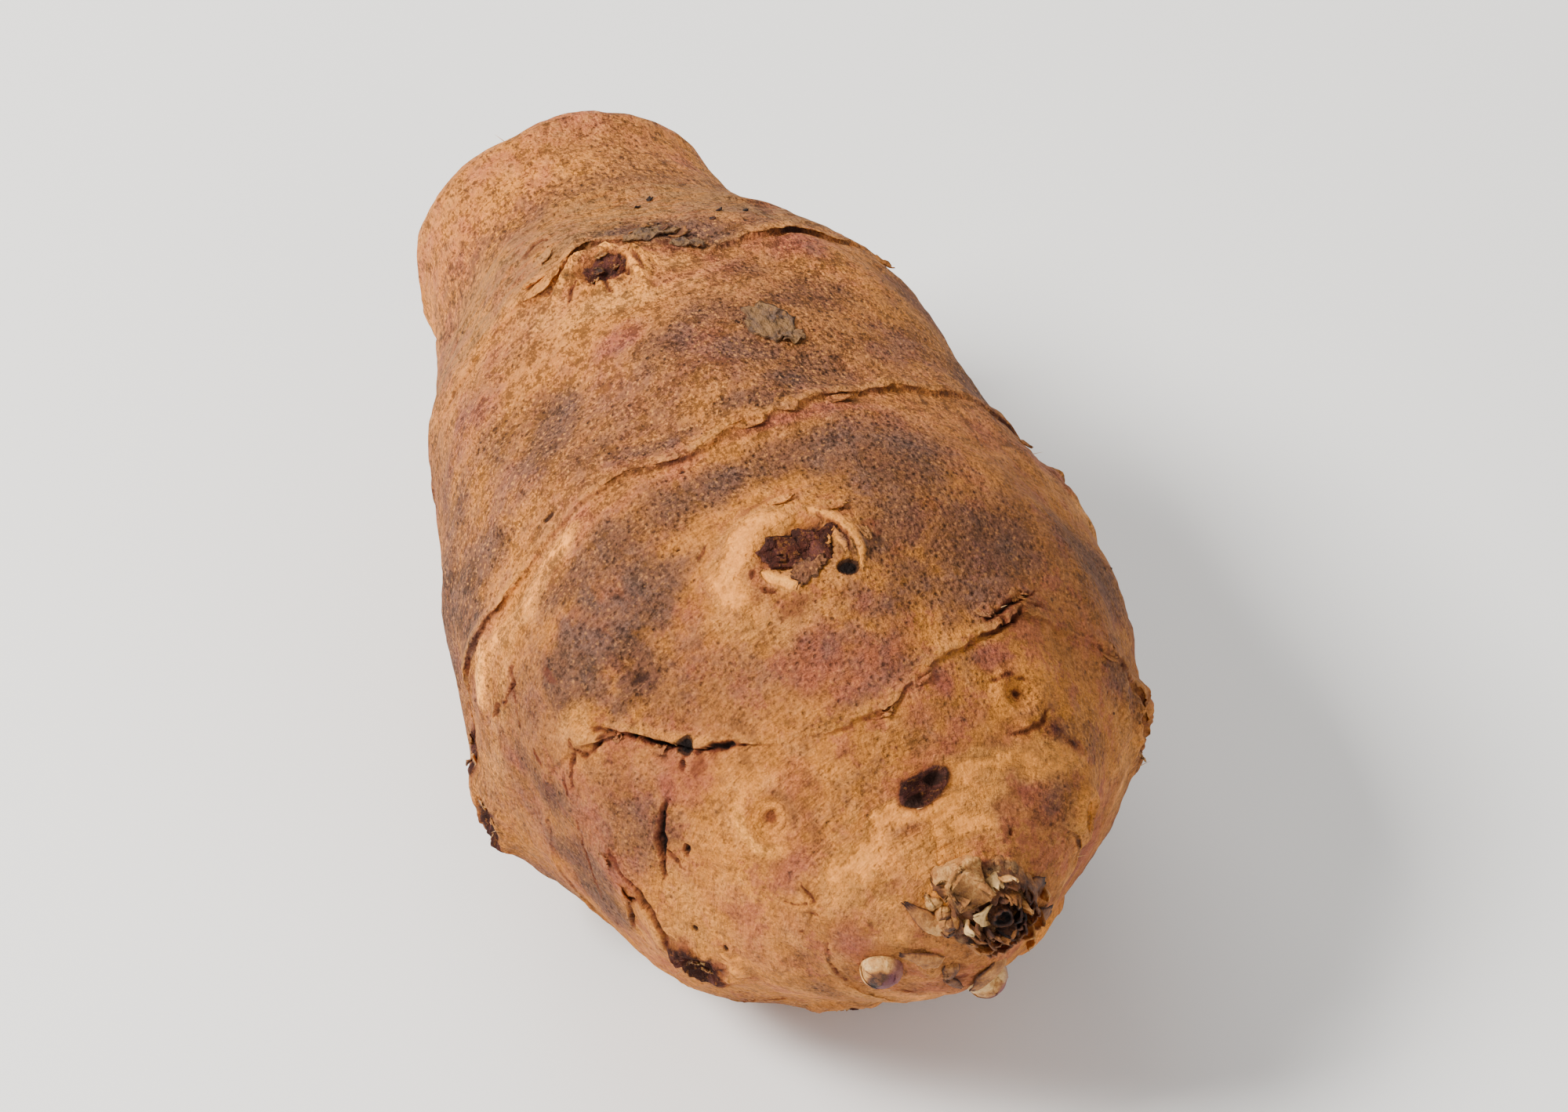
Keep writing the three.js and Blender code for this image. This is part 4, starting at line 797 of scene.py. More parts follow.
def faceSurface(share, angle):  # the broken end, share 0 in its middle and 1 at the rim
    rim, fields = skinSurface(0 * share, angle)
    x, _, shift, lift = sectionAt(np.array(0.0))
    centre = np.array([x, shift, lift])
    point = centre + (rim - centre) * share[:, None]
    height, across, softness = tuberForm["ledge"]
    ledge = height * smooth(point[:, 2] - lift + across, -softness, softness)
    torn = grains(point, tuberForm["faceGrain"])
    ring = 0.35 * bump(share - 0.8, 0.05)
    inside = 1 - share ** 8
    point[:, 0] += tuberForm["dish"] * (1 - share ** 2) + (1 - share ** 4) * (0.3 * height - ledge)
    point[:, 0] += inside * (0.9 * torn + 0.25 - ring)
    plain = {"flesh": 1, "ringRadius": 6, "scarPast": 12, "crackGap": 6}
    fields = {name: plain.get(name, 0) + 0 * share for name in fields}
    fields["fibres"] = 0.6 + 3 * smooth(share, 0.9, 1)
    fields["alongSkin"] = -12 * (1 - share)
    return point, fields


def kept(points, margin=0.5):  # eases points back into the object's own box
    for axis in range(3):
        for side, sign in ((0, -1), (1, 1)):
            if (axis, side) == (2, 0):
                continue
            edge = sign * sizeBefore[side][axis] / mm - margin - 0.02
            beyond = np.maximum(sign * points[:, axis] - edge, 0)
            points[:, axis] -= sign * (beyond - margin * (1 - np.exp(-beyond / margin)))
    points[:, 2] = np.maximum(points[:, 2], 0)
    return points


def tuberSurface(nominal, angle):
    onFace = nominal < 0
    point = np.zeros((len(nominal), 3))
    fields = {}
    for chosen, (part, values) in (
        (~onFace, skinSurface(nominal[~onFace], angle[~onFace])),
        (onFace, faceSurface(1 + nominal[onFace] / stations[0, 1], angle[onFace])),
    ):
        point[chosen] = part
        for name, value in values.items():
            fields.setdefault(name, np.zeros(len(nominal)))[chosen] = value
    return kept(point + tuberForm["shift"]), fields  # its floor is the small flat where the tuber rests


def nominalRows(grid):
    rim = stations[0, 1]
    besideScars = [mean + offset for mean in scarMeans for offset in grid["besideScar"]]
    anchors = [0.0, *grid["behindRim"], *besideScars, skinLength]
    rows = list(np.linspace(-rim, 0, grid["faceRows"] + 1)[:-1])
    for start, end in zip(anchors[:-1], anchors[1:]):
        parts = max(1, round((end - start) / grid["rowSpacing"]))
        rows.extend(start + (end - start) * k / parts for k in range(parts))
    return np.array(rows + [skinLength])


def wantedEdges(nominal, angle, grid):  # the longest edge allowed at each place
    along = bentAlong(np.maximum(nominal, 0), angle)
    base = bodyAt(along, angle)[0]
    wanted = np.full(len(nominal), grid["plainEdge"])
    for k in range(1, len(leafScars)):
        wanted[np.abs(along - scarAt(k, angle)[0]) < 1.2] = grid["scarEdge"]
    fineSpots = [(spotAlong, around, 0.85 * wide) for spotAlong, around, wide, *_ in eyes]
    for name in ("ink", "rust"):
        fineSpots += [(spotAlong, around, 1.1) for spotAlong, around, *_ in skinPatches[name]]
    for spotAlong, around, reach in fineSpots:
        wanted[np.linalg.norm(base - skinSpot(spotAlong, around)[0], axis=1) < reach] = grid["fineEdge"]
    wanted[crackDistance(base)[0] < 2.5] = grid["fineEdge"]
    wanted[patchField(base, skinPatches["scab"], sharp=True) > 0.1] = grid["fineEdge"]
    wanted[nominal < 0] = grid["faceEdge"]
    return wanted


def divideOnce(nominal, angle, triangles, grid):  # halves each edge that is too long
    rim = stations[0, 1]
    base = bodyAt(bentAlong(np.maximum(nominal, 0), angle), angle)[0]
    base[nominal < 0] *= np.array([1, 0, 0]) + np.outer(1 + nominal[nominal < 0] / rim, [0, 1, 1])
    sides = np.sort(np.concatenate([triangles[:, pair] for pair in ([0, 1], [1, 2], [2, 0])]), axis=1)
    keys, back = np.unique(sides[:, 0] * len(nominal) + sides[:, 1], return_inverse=True)
    a, b = keys // len(nominal), keys % len(nominal)
    turn = (angle[b] - angle[a] + np.pi) % (2 * np.pi) - np.pi
    midNominal, midAngle = (nominal[a] + nominal[b]) / 2, angle[a] + turn / 2
    length = np.linalg.norm(base[a] - base[b], axis=1)
    long = length > grid["fineEdge"]
    cut = np.zeros(len(keys), bool)
    cut[long] = length[long] > wantedEdges(midNominal[long], midAngle[long], grid)
    cut &= (np.minimum(nominal[a], nominal[b]) > -rim) & (np.maximum(nominal[a], nominal[b]) < skinLength)
    number = np.full(len(keys), -1)
    number[cut] = len(nominal) + np.arange(cut.sum())
    ab, bc, ca = number[back].reshape(3, -1)
    p, q, r = triangles.T  # a triangle's corners; ab, bc and ca are the new points on its sides
    code = (ab >= 0) + 2 * (bc >= 0) + 4 * (ca >= 0)
    recipes = {
        0: [(p, q, r)],
        1: [(p, ab, r), (ab, q, r)],
        2: [(p, q, bc), (p, bc, r)],
        4: [(p, q, ca), (ca, q, r)],
        3: [(q, bc, ab), (bc, r, ab), (r, p, ab)],
        5: [(p, ab, ca), (ab, q, ca), (q, r, ca)],
        6: [(r, ca, bc), (ca, p, bc), (p, q, bc)],
        7: [(p, ab, ca), (ab, q, bc), (ca, bc, r), (ab, bc, ca)],
    }
    pieces = [np.stack([corner[code == kind] for corner in corners], -1)
              for kind, recipe in recipes.items() for corners in recipe]
    return np.append(nominal, midNominal[cut]), np.append(angle, midAngle[cut]), np.concatenate(pieces)


def tuberTriangles(grid):
    rows, columns = nominalRows(grid), grid["columns"]
    inner = rows[1:-1]
    nominal = np.concatenate([[rows[0]], np.repeat(inner, columns), [rows[-1]]])
    angle = np.concatenate([[0], np.tile(2 * np.pi * np.arange(columns) / columns, len(inner)), [0]])
    here = np.arange(columns)
    after = (here + 1) % columns
    first = 1 + columns * np.arange(len(inner) - 1)[:, None]
    near, nearNext = first + here, first + after
    far, farNext = near + columns, nearNext + columns
    last = 1 + columns * (len(inner) - 1)
    tip = len(nominal) - 1
    triangles = np.concatenate([
        np.stack([near, far, nearNext], -1).reshape(-1, 3),
        np.stack([nearNext, far, farNext], -1).reshape(-1, 3),
        np.stack([0 * here, 1 + here, 1 + after], -1),
        np.stack([last + after, last + here, tip + 0 * here], -1),
    ])
    for _ in range(grid["rounds"]):
        nominal, angle, triangles = divideOnce(nominal, angle, triangles, grid)
    return nominal, angle, triangles


def meshFrom(name, points, faces, fields):  # a smooth mesh with the fields painted on its points
    mesh = bpy.data.meshes.new(name)
    mesh.from_pydata((points * mm).tolist(), [], faces)
    for field, values in fields.items():
        attribute = mesh.attributes.new(field, "FLOAT", "POINT")
        attribute.data.foreach_set("value", np.asarray(values, np.float32))
    mesh.polygons.foreach_set("use_smooth", [True] * len(mesh.polygons))
    return mesh


def placed(name, mesh, finish=None):
    piece = bpy.data.objects.new(name, mesh)
    bpy.context.scene.collection.objects.link(piece)
    if finish is not None:
        mesh.materials.clear()
        mesh.materials.append(finish)
    return piece


skinNominal, skinAngle, skinFaces = tuberTriangles(skinGrid)
skinPoints, skinFields = tuberSurface(skinNominal, skinAngle)
tuberMesh = meshFrom("tuberSkin", skinPoints, skinFaces.tolist(), skinFields)
print("tuber shaped:", len(skinPoints), "points,", len(skinFaces), "triangles")


skinColours = {
    "ochre": tint(206, 128, 48), "tan": tint(172, 106, 50), "straw": tint(214, 144, 72),
    "rose": tint(164, 84, 62), "mauve": tint(122, 70, 62), "plum": tint(84, 55, 50),
    "slate": tint(88, 73, 66), "olive": tint(136, 101, 66), "umber": tint(82, 48, 32),
    "cream": tint(224, 139, 50), "milk": tint(236, 162, 74), "redBrown": tint(98, 40, 24),
    "leather": tint(52, 27, 23), "bark": tint(48, 27, 20), "soot": tint(18, 11, 10),
    "flesh": tint(216, 122, 80), "fleshPale": tint(236, 156, 106), "fleshDark": tint(126, 54, 34),
}


# The clouds that the skin's colours go by: scale, detail, roughness.
skinClouds = {
    "broad": (0.06, 3, 0.5), "drift": (0.17, 5, 0.62), "marble": (0.3, 6, 0.74), "blotch": (0.5, 6, 0.68),
    "fleck": (1.0, 3, 0.55), "speck": (1.15, 5, 0.76), "dust": (2.8, 3, 0.7), "fine": (5.5, 2, 0.6),
}


def over(below, above, amount):  # a colour, named or worked out, laid over what is below it
    above = skinColours[above] if isinstance(above, str) else above
    return amount.graph.blended(below, above, amount)


def skinPattern(graph):  # clouds, streaks and dots, all under one name
    place = graph.scaled(graph.add("ShaderNodeTexCoord", None, None, output=3), 1 / mm)
    x, y, z = graph.split(place)
    at = SimpleNamespace(graph=graph, field=graph.field, along=graph.field("alongSkin"))
    for name, values in skinClouds.items():
        setattr(at, name, graph.cloud(place, *values))
    rows = graph.joined(at.along * 1.5, y * 0.3, z * 0.3)
    at.streak = graph.cloud(rows, 1.0, 5, 0.68)
    at.thread = graph.cloud(graph.scaled(rows, 2.6), 1.0, 4, 0.65)
    at.dash = graph.cloud(graph.joined(at.along * 1.1, y * 2.8, z * 2.8), 1.0, 4, 0.62)
    at.fibre = graph.cloud(graph.joined(x * 0.6, y * 1.3, z * 1.3), 1.0, 7, 0.72)
    at.ridge = graph.cloud(graph.joined(x * 0.2, y * 0.34, z * 0.2), 1.0, 5, 0.62)
    at.dots, at.fineDots = graph.cells(place, 2.0), graph.cells(place, 2.5)
    for name in ("blotch", "drift", "speck", "dust", "streak", "thread", "fine", "fibre"):
        setattr(at, name + "Swing", getattr(at, name) - 0.5)  # how far it is above or below its middle
    return at


def markSkin(at):  # where the looks lie that several layers share, from 0 to 1
    at.beforeRing = ramp(at.along, 9.0, 14.0) * (1.0 - ramp(at.along, 20.5, 22.5))
    at.onNeck = 1.0 - ramp(at.along, 10.0, 24.0)
    at.stemHalf = 1.0 - ramp(at.along, 42.0, 58.0)
    at.pale = at.field("pale")
    ragged = 1.8 * at.blotchSwing + 1.2 * at.driftSwing + 0.6 * at.speckSwing + 0.6 * at.streakSwing
    at.paleEdge = ramp(at.pale + ragged, 0.3, 0.95)
    dusk = at.graph.most(at.field("dusk"), at.field("shadowSide"))
    wild = 2.0 * at.blotchSwing + 0.9 * at.driftSwing + 0.7 * at.speckSwing + 0.6 * at.streakSwing
    veil = ramp(at.along, 25.0, 33.0) * (1.0 - ramp(at.along, 64.0, 72.0))
    at.duskSoft = ramp(dusk + 0.95 * wild + 0.12 * veil - 0.45 * at.pale, 0.1, 1.15)
    at.grit = ramp(dusk + 0.6 * at.driftSwing, 0.0, 0.7) * (1.0 - 0.8 * at.paleEdge)
    at.darkDots = (1.0 - ramp(at.dots, 0.12, 0.42)) * ramp(at.blotch + 0.2 * at.grit, 0.42, 0.62)
    at.ring = at.field("ringRadius") + 0.5 * at.blotchSwing
    at.warm = 1.0 - ramp(at.ring, 1.3, 2.0)
    at.circles = ramp(at.graph.maths("SINE", at.ring * 11.0 + 3.0 * at.blotchSwing), 0.55, 1.0)
    at.scab = ramp(at.field("scab") + 0.45 * at.speckSwing + 0.25 * at.blotchSwing, 0.34, 0.5)
    at.onFlesh = ramp(at.field("flesh") + 0.3 * at.speckSwing, 0.4, 0.6)


def tanSkin(at):  # warmer, pinker and paler by turns
    colour = over(skinColours["tan"], "ochre", ramp(at.broad + 0.4 * at.driftSwing, 0.38, 0.62))
    colour = over(colour, "rose", 0.7 * ramp(at.drift + 0.3 * at.blotchSwing, 0.46, 0.66))
    colour = over(colour, "straw", 0.5 * ramp(at.blotch + 0.4 * at.speckSwing, 0.48, 0.72))
    colour = over(colour, "olive", 0.72 * at.beforeRing * ramp(at.streak, 0.3, 0.6))
    marbled = 0.4 + 0.6 * ramp(at.along, 50.0, 66.0)
    colour = over(colour, "rose", 0.55 * marbled * ramp(at.marble, 0.53, 0.6))
    return over(colour, "umber", 0.42 * marbled * ramp(0.0 - at.marble, -0.45, -0.38))


def blushAndCream(at, colour):
    blush = at.field("blush") + 0.6 * at.blotchSwing
    blushColour = over(skinColours["rose"], "mauve", ramp(at.blotch, 0.4, 0.7))
    colour = over(colour, blushColour, 0.82 * ramp(blush, 0.12, 0.85))
    colour = over(colour, "straw", 0.55 * ramp(at.pale + 0.8 * at.blotchSwing, 0.1, 0.6))
    colour = over(colour, "cream", 0.72 * at.paleEdge)
    milky = at.pale + 0.9 * at.blotchSwing + 0.5 * at.speckSwing
    return over(colour, "milk", 0.55 * ramp(milky, 0.85, 1.7))


def corkyMottling(at, colour):  # dark, strongest on the stem side of the rings
    duskColour = over(skinColours["plum"], "slate", ramp(at.drift, 0.4, 0.62))
    duskColour = over(duskColour, "umber", 0.7 * ramp(at.blotch, 0.45, 0.7))
    return over(colour, duskColour, 0.82 * at.duskSoft)


def specksAndThreads(at, colour):
    clumps = ramp(at.speck + 0.25 * at.dustSwing, 0.46, 0.62)
    grainy = at.graph.most(clumps * 0.9, at.darkDots) * (1.0 - 0.75 * at.paleEdge)
    colour = over(colour, "umber", (0.3 + 0.4 * at.grit) * grainy)
    paleDots = (1.0 - ramp(at.fineDots, 0.12, 0.5)) * ramp(at.dust + 0.6 * at.speckSwing, 0.45, 0.6)
    colour = over(colour, "straw", (0.12 + 0.14 * at.grit + 0.3 * at.stemHalf) * paleDots)
    middleOfNeck = ramp(at.along, 5.0, 9.0) - ramp(at.along, 11.0, 14.0)
    colour = over(colour, "umber", 0.6 * ramp(at.dash + 0.12 * middleOfNeck, 0.54, 0.68) * at.onNeck)
    colour = over(colour, "umber", 0.32 * ramp(at.thread, 0.54, 0.66) * (1.0 - 0.7 * at.paleEdge))
    return over(colour, "bark", 0.5 * ramp(at.fleck, 0.66, 0.71))


def smoothEyes(at, colour):  # a pale ring, lighter on the side towards the light as painted highlight, warm inside, fine dark circles, a painted shadow arc on the side away from the light, and a pupil
    lit = at.field("ringLit")
    outer = ramp(at.ring, 1.6, 2.1)
    band = outer * (1.0 - ramp(at.ring, 2.5, 3.2))
    colour = over(colour, "ochre", 0.6 * at.warm)
    # partly painted highlight: the ring's cream and milk grow on the side towards the light
    colour = over(colour, "cream", band * (0.3 + 0.7 * lit))
    colour = over(colour, "milk", 0.4 * band * ramp(lit, 0.0, 0.8))
    hereAndThere = ramp(at.drift + 0.4 * at.blotchSwing, 0.4, 0.6)
    colour = over(colour, "umber", 0.3 * at.circles * (1.0 - outer) * hereAndThere)
    # painted shadow: an umber arc on the ring's side away from the light
    paintedShadowArc = ramp(at.ring, 0.9, 1.6) * (1.0 - ramp(at.ring, 1.7, 2.6)) * ramp(0.0 - lit, 0.1, 0.8)
    colour = over(colour, "umber", 0.6 * paintedShadowArc)
    pupil = 1.0 - ramp(at.ring + 0.5 * at.speckSwing, 0.3, 0.75)
    return over(colour, "redBrown", 0.85 * pupil)


def foldShadeAndHighlight(at, colour):  # painted shade dark in the creases, painted highlight pale on the ridges
    folds = at.field("folds")
    colour = over(colour, "bark", 0.75 * ramp(0.0 - folds + 0.6 * at.speckSwing, 0.25, 0.9))
    return over(colour, "cream", 0.45 * ramp(folds + 0.4 * at.speckSwing, 0.3, 1.0))


def grainAndPaintedLight(at, colour):  # lighter and darker grain over everything so far, with painted light making the neck, the band before the first ring and the stem half lighter
    loud = 0.8 + 0.45 * at.grit + 1.5 * at.stemHalf - 0.3 * at.paleEdge
    ridges = at.beforeRing * (1.6 * at.threadSwing + 1.2 * at.streakSwing)
    grains = 2.3 * at.speckSwing + 1.9 * at.blotchSwing + 2.0 * at.dustSwing
    grains = grains + 1.3 * at.fineSwing + 1.1 * at.streakSwing
    # painted light: the stemHalf, onNeck and beforeRing terms make the stem half, the neck and the band
    # before the first ring lighter
    shade = 1.02 + 0.09 * at.stemHalf + 0.26 * at.onNeck + 0.24 * at.beforeRing + ridges + loud * grains
    maths = at.graph.maths
    return at.graph.scaled(colour, maths("MINIMUM", maths("MAXIMUM", shade, 0.46), 1.55))


def scarCrestsAndShadowLines(at, colour):  # a pale crest, partly painted highlight on its thin edge, and here and there a dark line under it, partly painted shadow under the lip
    past = at.field("scarPast")
    near = at.field("scarStrength") * (1.0 - ramp(at.graph.maths("ABSOLUTE", past), 1.4, 3.0))
    # partly painted highlight: the crest's straw on the thin edge
    crest = ramp(past, -0.9, -0.3) * (1.0 - ramp(past, -0.02, 0.1)) * near
    colour = over(colour, "straw", 0.5 * crest * ramp(at.blotch + 0.5 * at.speckSwing, 0.4, 0.6))
    # partly painted shadow: the dark line just past the ring, under the lip
    line = ramp(past, 0.02, 0.12) * (1.0 - ramp(past, 0.2, 0.45)) * near
    colour = over(colour, "redBrown", 0.7 * line * ramp(at.blotch, 0.35, 0.6))
    return over(colour, "bark", 0.9 * line * ramp(at.drift + 0.5 * at.blotchSwing, 0.42, 0.6))


def rustAndScabs(at, colour):
    rust = at.field("rust") + 2.0 * at.speckSwing + 1.4 * at.blotchSwing + 1.0 * at.dustSwing
    colour = over(colour, "redBrown", 0.62 * ramp(rust, 0.3, 1.1))
    reddish = ramp(at.blotch + 0.3 * at.speckSwing, 0.42, 0.65)
    scabColour = over(skinColours["leather"], "redBrown", 0.4 * reddish)
    scabColour = over(scabColour, "mauve", 0.5 * ramp(at.streak, 0.48, 0.62))
    scabColour = over(scabColour, "soot", 0.75 * ramp(at.speck + 0.3 * at.dustSwing, 0.52, 0.66))
    scabColour = over(scabColour, "tan", 0.4 * ramp(at.dust + 0.7 * at.threadSwing, 0.55, 0.7))
    colour = over(colour, "redBrown", 0.55 * ramp(at.field("scab") + 0.5 * at.speckSwing, 0.12, 0.36))
    return over(colour, scabColour, 0.97 * at.scab)


def crackWalls(at, colour):
    crack = at.field("crackGap")
    colour = over(colour, "redBrown", 0.75 * (1.0 - ramp(crack, 0.7, 1.7)))
    deep = 0.35 + 0.65 * ramp(at.field("crackDeep"), 0.2, 0.5)
    return over(colour, "soot", 0.95 * deep * (1.0 - ramp(crack + 0.7 * at.speckSwing, 0.3, 0.9)))


def witheredCrown(at, colour):
    rot = ramp(at.field("rot") + 0.5 * at.blotchSwing + 0.3 * at.speckSwing, 0.35, 0.6)
    rotColour = over(skinColours["umber"], "olive", ramp(at.blotch + 0.3 * at.speckSwing, 0.42, 0.6))
    rotColour = over(rotColour, "redBrown", 0.6 * ramp(at.drift + 0.5 * at.streakSwing, 0.45, 0.6))
    rotColour = over(rotColour, "straw", 0.8 * ramp(at.speck + 0.5 * at.blotchSwing, 0.58, 0.68))
    rotColour = over(rotColour, "soot", 0.9 * ramp(0.0 - at.speck - 0.6 * at.blotchSwing, -0.47, -0.38))
    return over(colour, rotColour, 0.95 * rot)


def crustsAndPits(at, colour):
    crust = ramp(at.field("crust"), 0.3, 0.7)
    crustColour = over(skinColours["olive"], "slate", ramp(at.blotch + 0.4 * at.speckSwing, 0.4, 0.62))
    crustColour = over(crustColour, "straw", 0.5 * ramp(at.speck, 0.56, 0.66))
    colour = over(colour, crustColour, 0.92 * crust)
    ink = at.field("ink") + 0.3 * at.speckSwing
    colour = over(colour, "bark", 0.92 * ramp(ink, 0.4, 0.7))
    return over(colour, "soot", 0.95 * ramp(ink, 0.9, 1.3))


def brokenEnd(at, colour):
    fleshColour = over(skinColours["flesh"], "fleshPale", ramp(at.ridge + 0.5 * at.fibreSwing, 0.47, 0.6))
    furrow = 0.0 - at.ridge - 0.5 * at.fibreSwing + 0.4 * at.dustSwing
    fleshColour = over(fleshColour, "fleshDark", 0.65 * ramp(furrow, -0.47, -0.36))
    rimShare = ramp(at.along, -4.4, 0.0)
    corky = ramp(rimShare + 1.6 * at.driftSwing + 0.9 * at.blotchSwing, 0.3, 0.85)
    fleshColour = over(fleshColour, "redBrown", 0.85 * corky)
    dark = ramp(rimShare + 0.9 * at.blotchSwing + 0.6 * at.speckSwing, 0.8, 1.1)
    fleshColour = over(fleshColour, "bark", 0.75 * dark)
    return over(colour, fleshColour, at.onFlesh)


def skinRelief(at):  # the height that the bump goes by
    grains = 0.9 * at.speck + 0.35 * at.dust + 0.5 * at.thread + 0.6 * at.blotch + 0.3 * at.dash
    relief = (grains + 0.35 * at.dots) * (1.0 - 0.55 * at.paleEdge)
    relief = relief + 0.9 * at.beforeRing * at.thread - 0.25 * at.darkDots - 0.12 * at.circles * at.warm
    return relief + 0.6 * at.scab * at.dust + 0.7 * at.onFlesh * at.fibre


def makeSkinFinish():
    material, graph = newFinish("tuberSkinFinish")
    at = skinPattern(graph)
    markSkin(at)
    colour = tanSkin(at)
    for layer in (blushAndCream, corkyMottling, specksAndThreads, smoothEyes, foldShadeAndHighlight, grainAndPaintedLight,
                  scarCrestsAndShadowLines, rustAndScabs, crackWalls, witheredCrown, crustsAndPits, brokenEnd):
        colour = layer(at, colour)
    roughness = 0.74 - 0.22 * at.paleEdge + 0.12 * at.scab + 0.08 * at.duskSoft + 0.14 * at.speckSwing
    normal = graph.add("ShaderNodeBump", None,
                       {"Strength": 1.0, "Distance": 0.00055, "Height": skinRelief(at)})
    endFinish(graph, {"Base Color": colour, "Roughness": roughness, "Normal": normal, "IOR": 1.42,
                      "Specular IOR Level": 0.2, "Subsurface Weight": 0.05,
                      "Subsurface Radius": (1.0, 0.45, 0.25), "Subsurface Scale": 0.001})
    return material


skinFinish = makeSkinFinish()
tuberSkin = placed("tuberSkin", tuberMesh, skinFinish)
print("skin finished")

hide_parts("tuber")
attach(tuberSkin, "root")


skinBvh = BVHTree.FromPolygons(skinPoints.tolist(), skinFaces.tolist())
bodyShift = np.array(tuberForm["shift"])


def skinPlace(along, around):  # the real skin's point with the body's directions there
    point, normal, forward, sideways = skinSpot(along, around)
    return nearSkin(point + bodyShift)[0], normal, forward, sideways


def headedPlace(along, around, heading):  # the same, with one direction: 0 to the tip, 90 towards +around
    point, normal, forward, sideways = skinPlace(along, around)
    turn = math.radians(heading)
    return point, normal, forward * math.cos(turn) + sideways * math.sin(turn)


def nearSkin(point):
    spot, normal, _, _ = skinBvh.find_nearest(Vector(point.tolist()))
    return np.array(spot), np.array(normal)


def gridFaces(rows, columns, closed=False):
    first = np.arange(rows - 1)[:, None] * columns
    here = np.arange(columns if closed else columns - 1)
    after = (here + 1) % columns
    near, nearNext = first + here, first + after
    return np.stack([near, nearNext, nearNext + columns, near + columns], -1).reshape(-1, 4)


def leafSheet(start, onward, outward, length, width, bend=0.0, cup=0.2, blunt=2.4, ragged=0.2, crinkle=0.12,
              seed=0, rows=15, columns=11):
    # a small leaf: t runs from base to tip, u across; a bend above 0 curls it outwards, in degrees
    across = np.cross(onward, outward)
    t, u = np.meshgrid(np.linspace(0, 1, rows), np.linspace(-1, 1, columns), indexing="ij")
    cut = 1 - ragged * (0.5 + 0.5 * grain(np.stack([3.1 * u, 0 * u, 0 * u + seed], -1), 0.9, seed))
    run = t * cut
    turn = math.radians(bend) if abs(bend) > 1 else 0.02
    ahead, lift = np.sin(turn * run) / turn, (1 - np.cos(turn * run)) / turn
    belly = 0.78 + 0.3 * np.sin(np.pi * np.minimum(1.15 * run, 1))
    half = 0.5 * width * (1 - run ** blunt) ** 0.6 * belly
    point = (start + onward * (length * ahead)[..., None] + across * (half * u)[..., None]
             + outward * (length * lift - cup * half * u ** 2)[..., None])
    point += outward * (crinkle * grain(point, 0.9, seed + 1) * np.minimum(3 * t, 1))[..., None]
    return point.reshape(-1, 3), gridFaces(rows, columns), t.ravel(), u.ravel()


def laidOn(points, lifts):  # lays a sheet on the skin, each point at its own height above it
    laid = []
    for point, lift in zip(points, lifts):
        spot, normal = nearSkin(point)
        laid.append(spot + normal * lift)
    return np.array(laid)


crustGrid = {"rings": 16, "columns": 56}


def crustSheet(along, around, heading, length, width, lift, curl, seed):  # a thin scab with a jagged outline
    middle, normal, way = headedPlace(along, around, heading)
    side = np.cross(normal, way)
    columns = crustGrid["columns"]
    share, angle = np.meshgrid(np.linspace(1, 0.02, crustGrid["rings"]),
                               2 * np.pi * np.arange(columns) / columns, indexing="ij")
    circle = np.stack([np.cos(angle), np.sin(angle), 0 * angle], -1)
    outline = 1 + 0.34 * grain(circle, 0.7, seed) + 0.22 * grain(circle, 0.28, seed + 1)
    outline += 0.12 * grain(circle, 0.12, seed + 2)
    reach = share * outline
    points = (middle + way * (0.5 * length * reach * np.cos(angle))[..., None]
              + side * (0.5 * width * reach * np.sin(angle))[..., None]).reshape(-1, 3)
    edge = smooth(share, 0.7, 1.0) * (0.6 + 1.2 * grain(circle, 0.5, seed + 3))
    rise = (lift * (1 - share ** 4) + 0.06 + curl * edge).ravel()
    rise += 0.22 * lift * (grain(points, 0.9, seed + 4) + 0.7 * grain(points, 0.4, seed + 5)) / 0.3
    return laidOn(points, rise), gridFaces(*share.shape, closed=True), share.ravel()


def joinedMesh(name, parts):
    points, faces, fields, count = [], [], {}, 0
    for part, partFaces, values in parts:
        points.append(part)
        faces.extend((np.asarray(partFaces) + count).tolist())
        for field, value in values.items():
            fields.setdefault(field, []).append(np.broadcast_to(value, len(part)))
        count += len(part)
    return meshFrom(name, kept(np.concatenate(points)), faces,
                    {field: np.concatenate(values) for field, values in fields.items()})


def addSheets(name, parts, finish, thickness):
    piece = placed(name, joinedMesh(name, parts), finish)
    thicken = piece.modifiers.new("thickness", "SOLIDIFY")
    thicken.thickness = thickness * mm
    thicken.offset = -1
    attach(piece, "root")
    return piece


# Torn lips of skin along the rings.
lipSettings = {
    "columns": 900,
    "rings": (1, 2, 3, 4),
    "edge": 0.26,
    "tear": 0.8,
    "curl": 0.3,
    "thickness": 0.06,
    "underSkin": ((-1.5, -0.08), (-0.9, 0.0), (-0.45, 0.02), (-0.12, 0.03)),  # rows' place along and lift
    "overRing": (0.3, 0.6, 0.85, 1.0),  # the other rows' shares of the free edge's reach
}


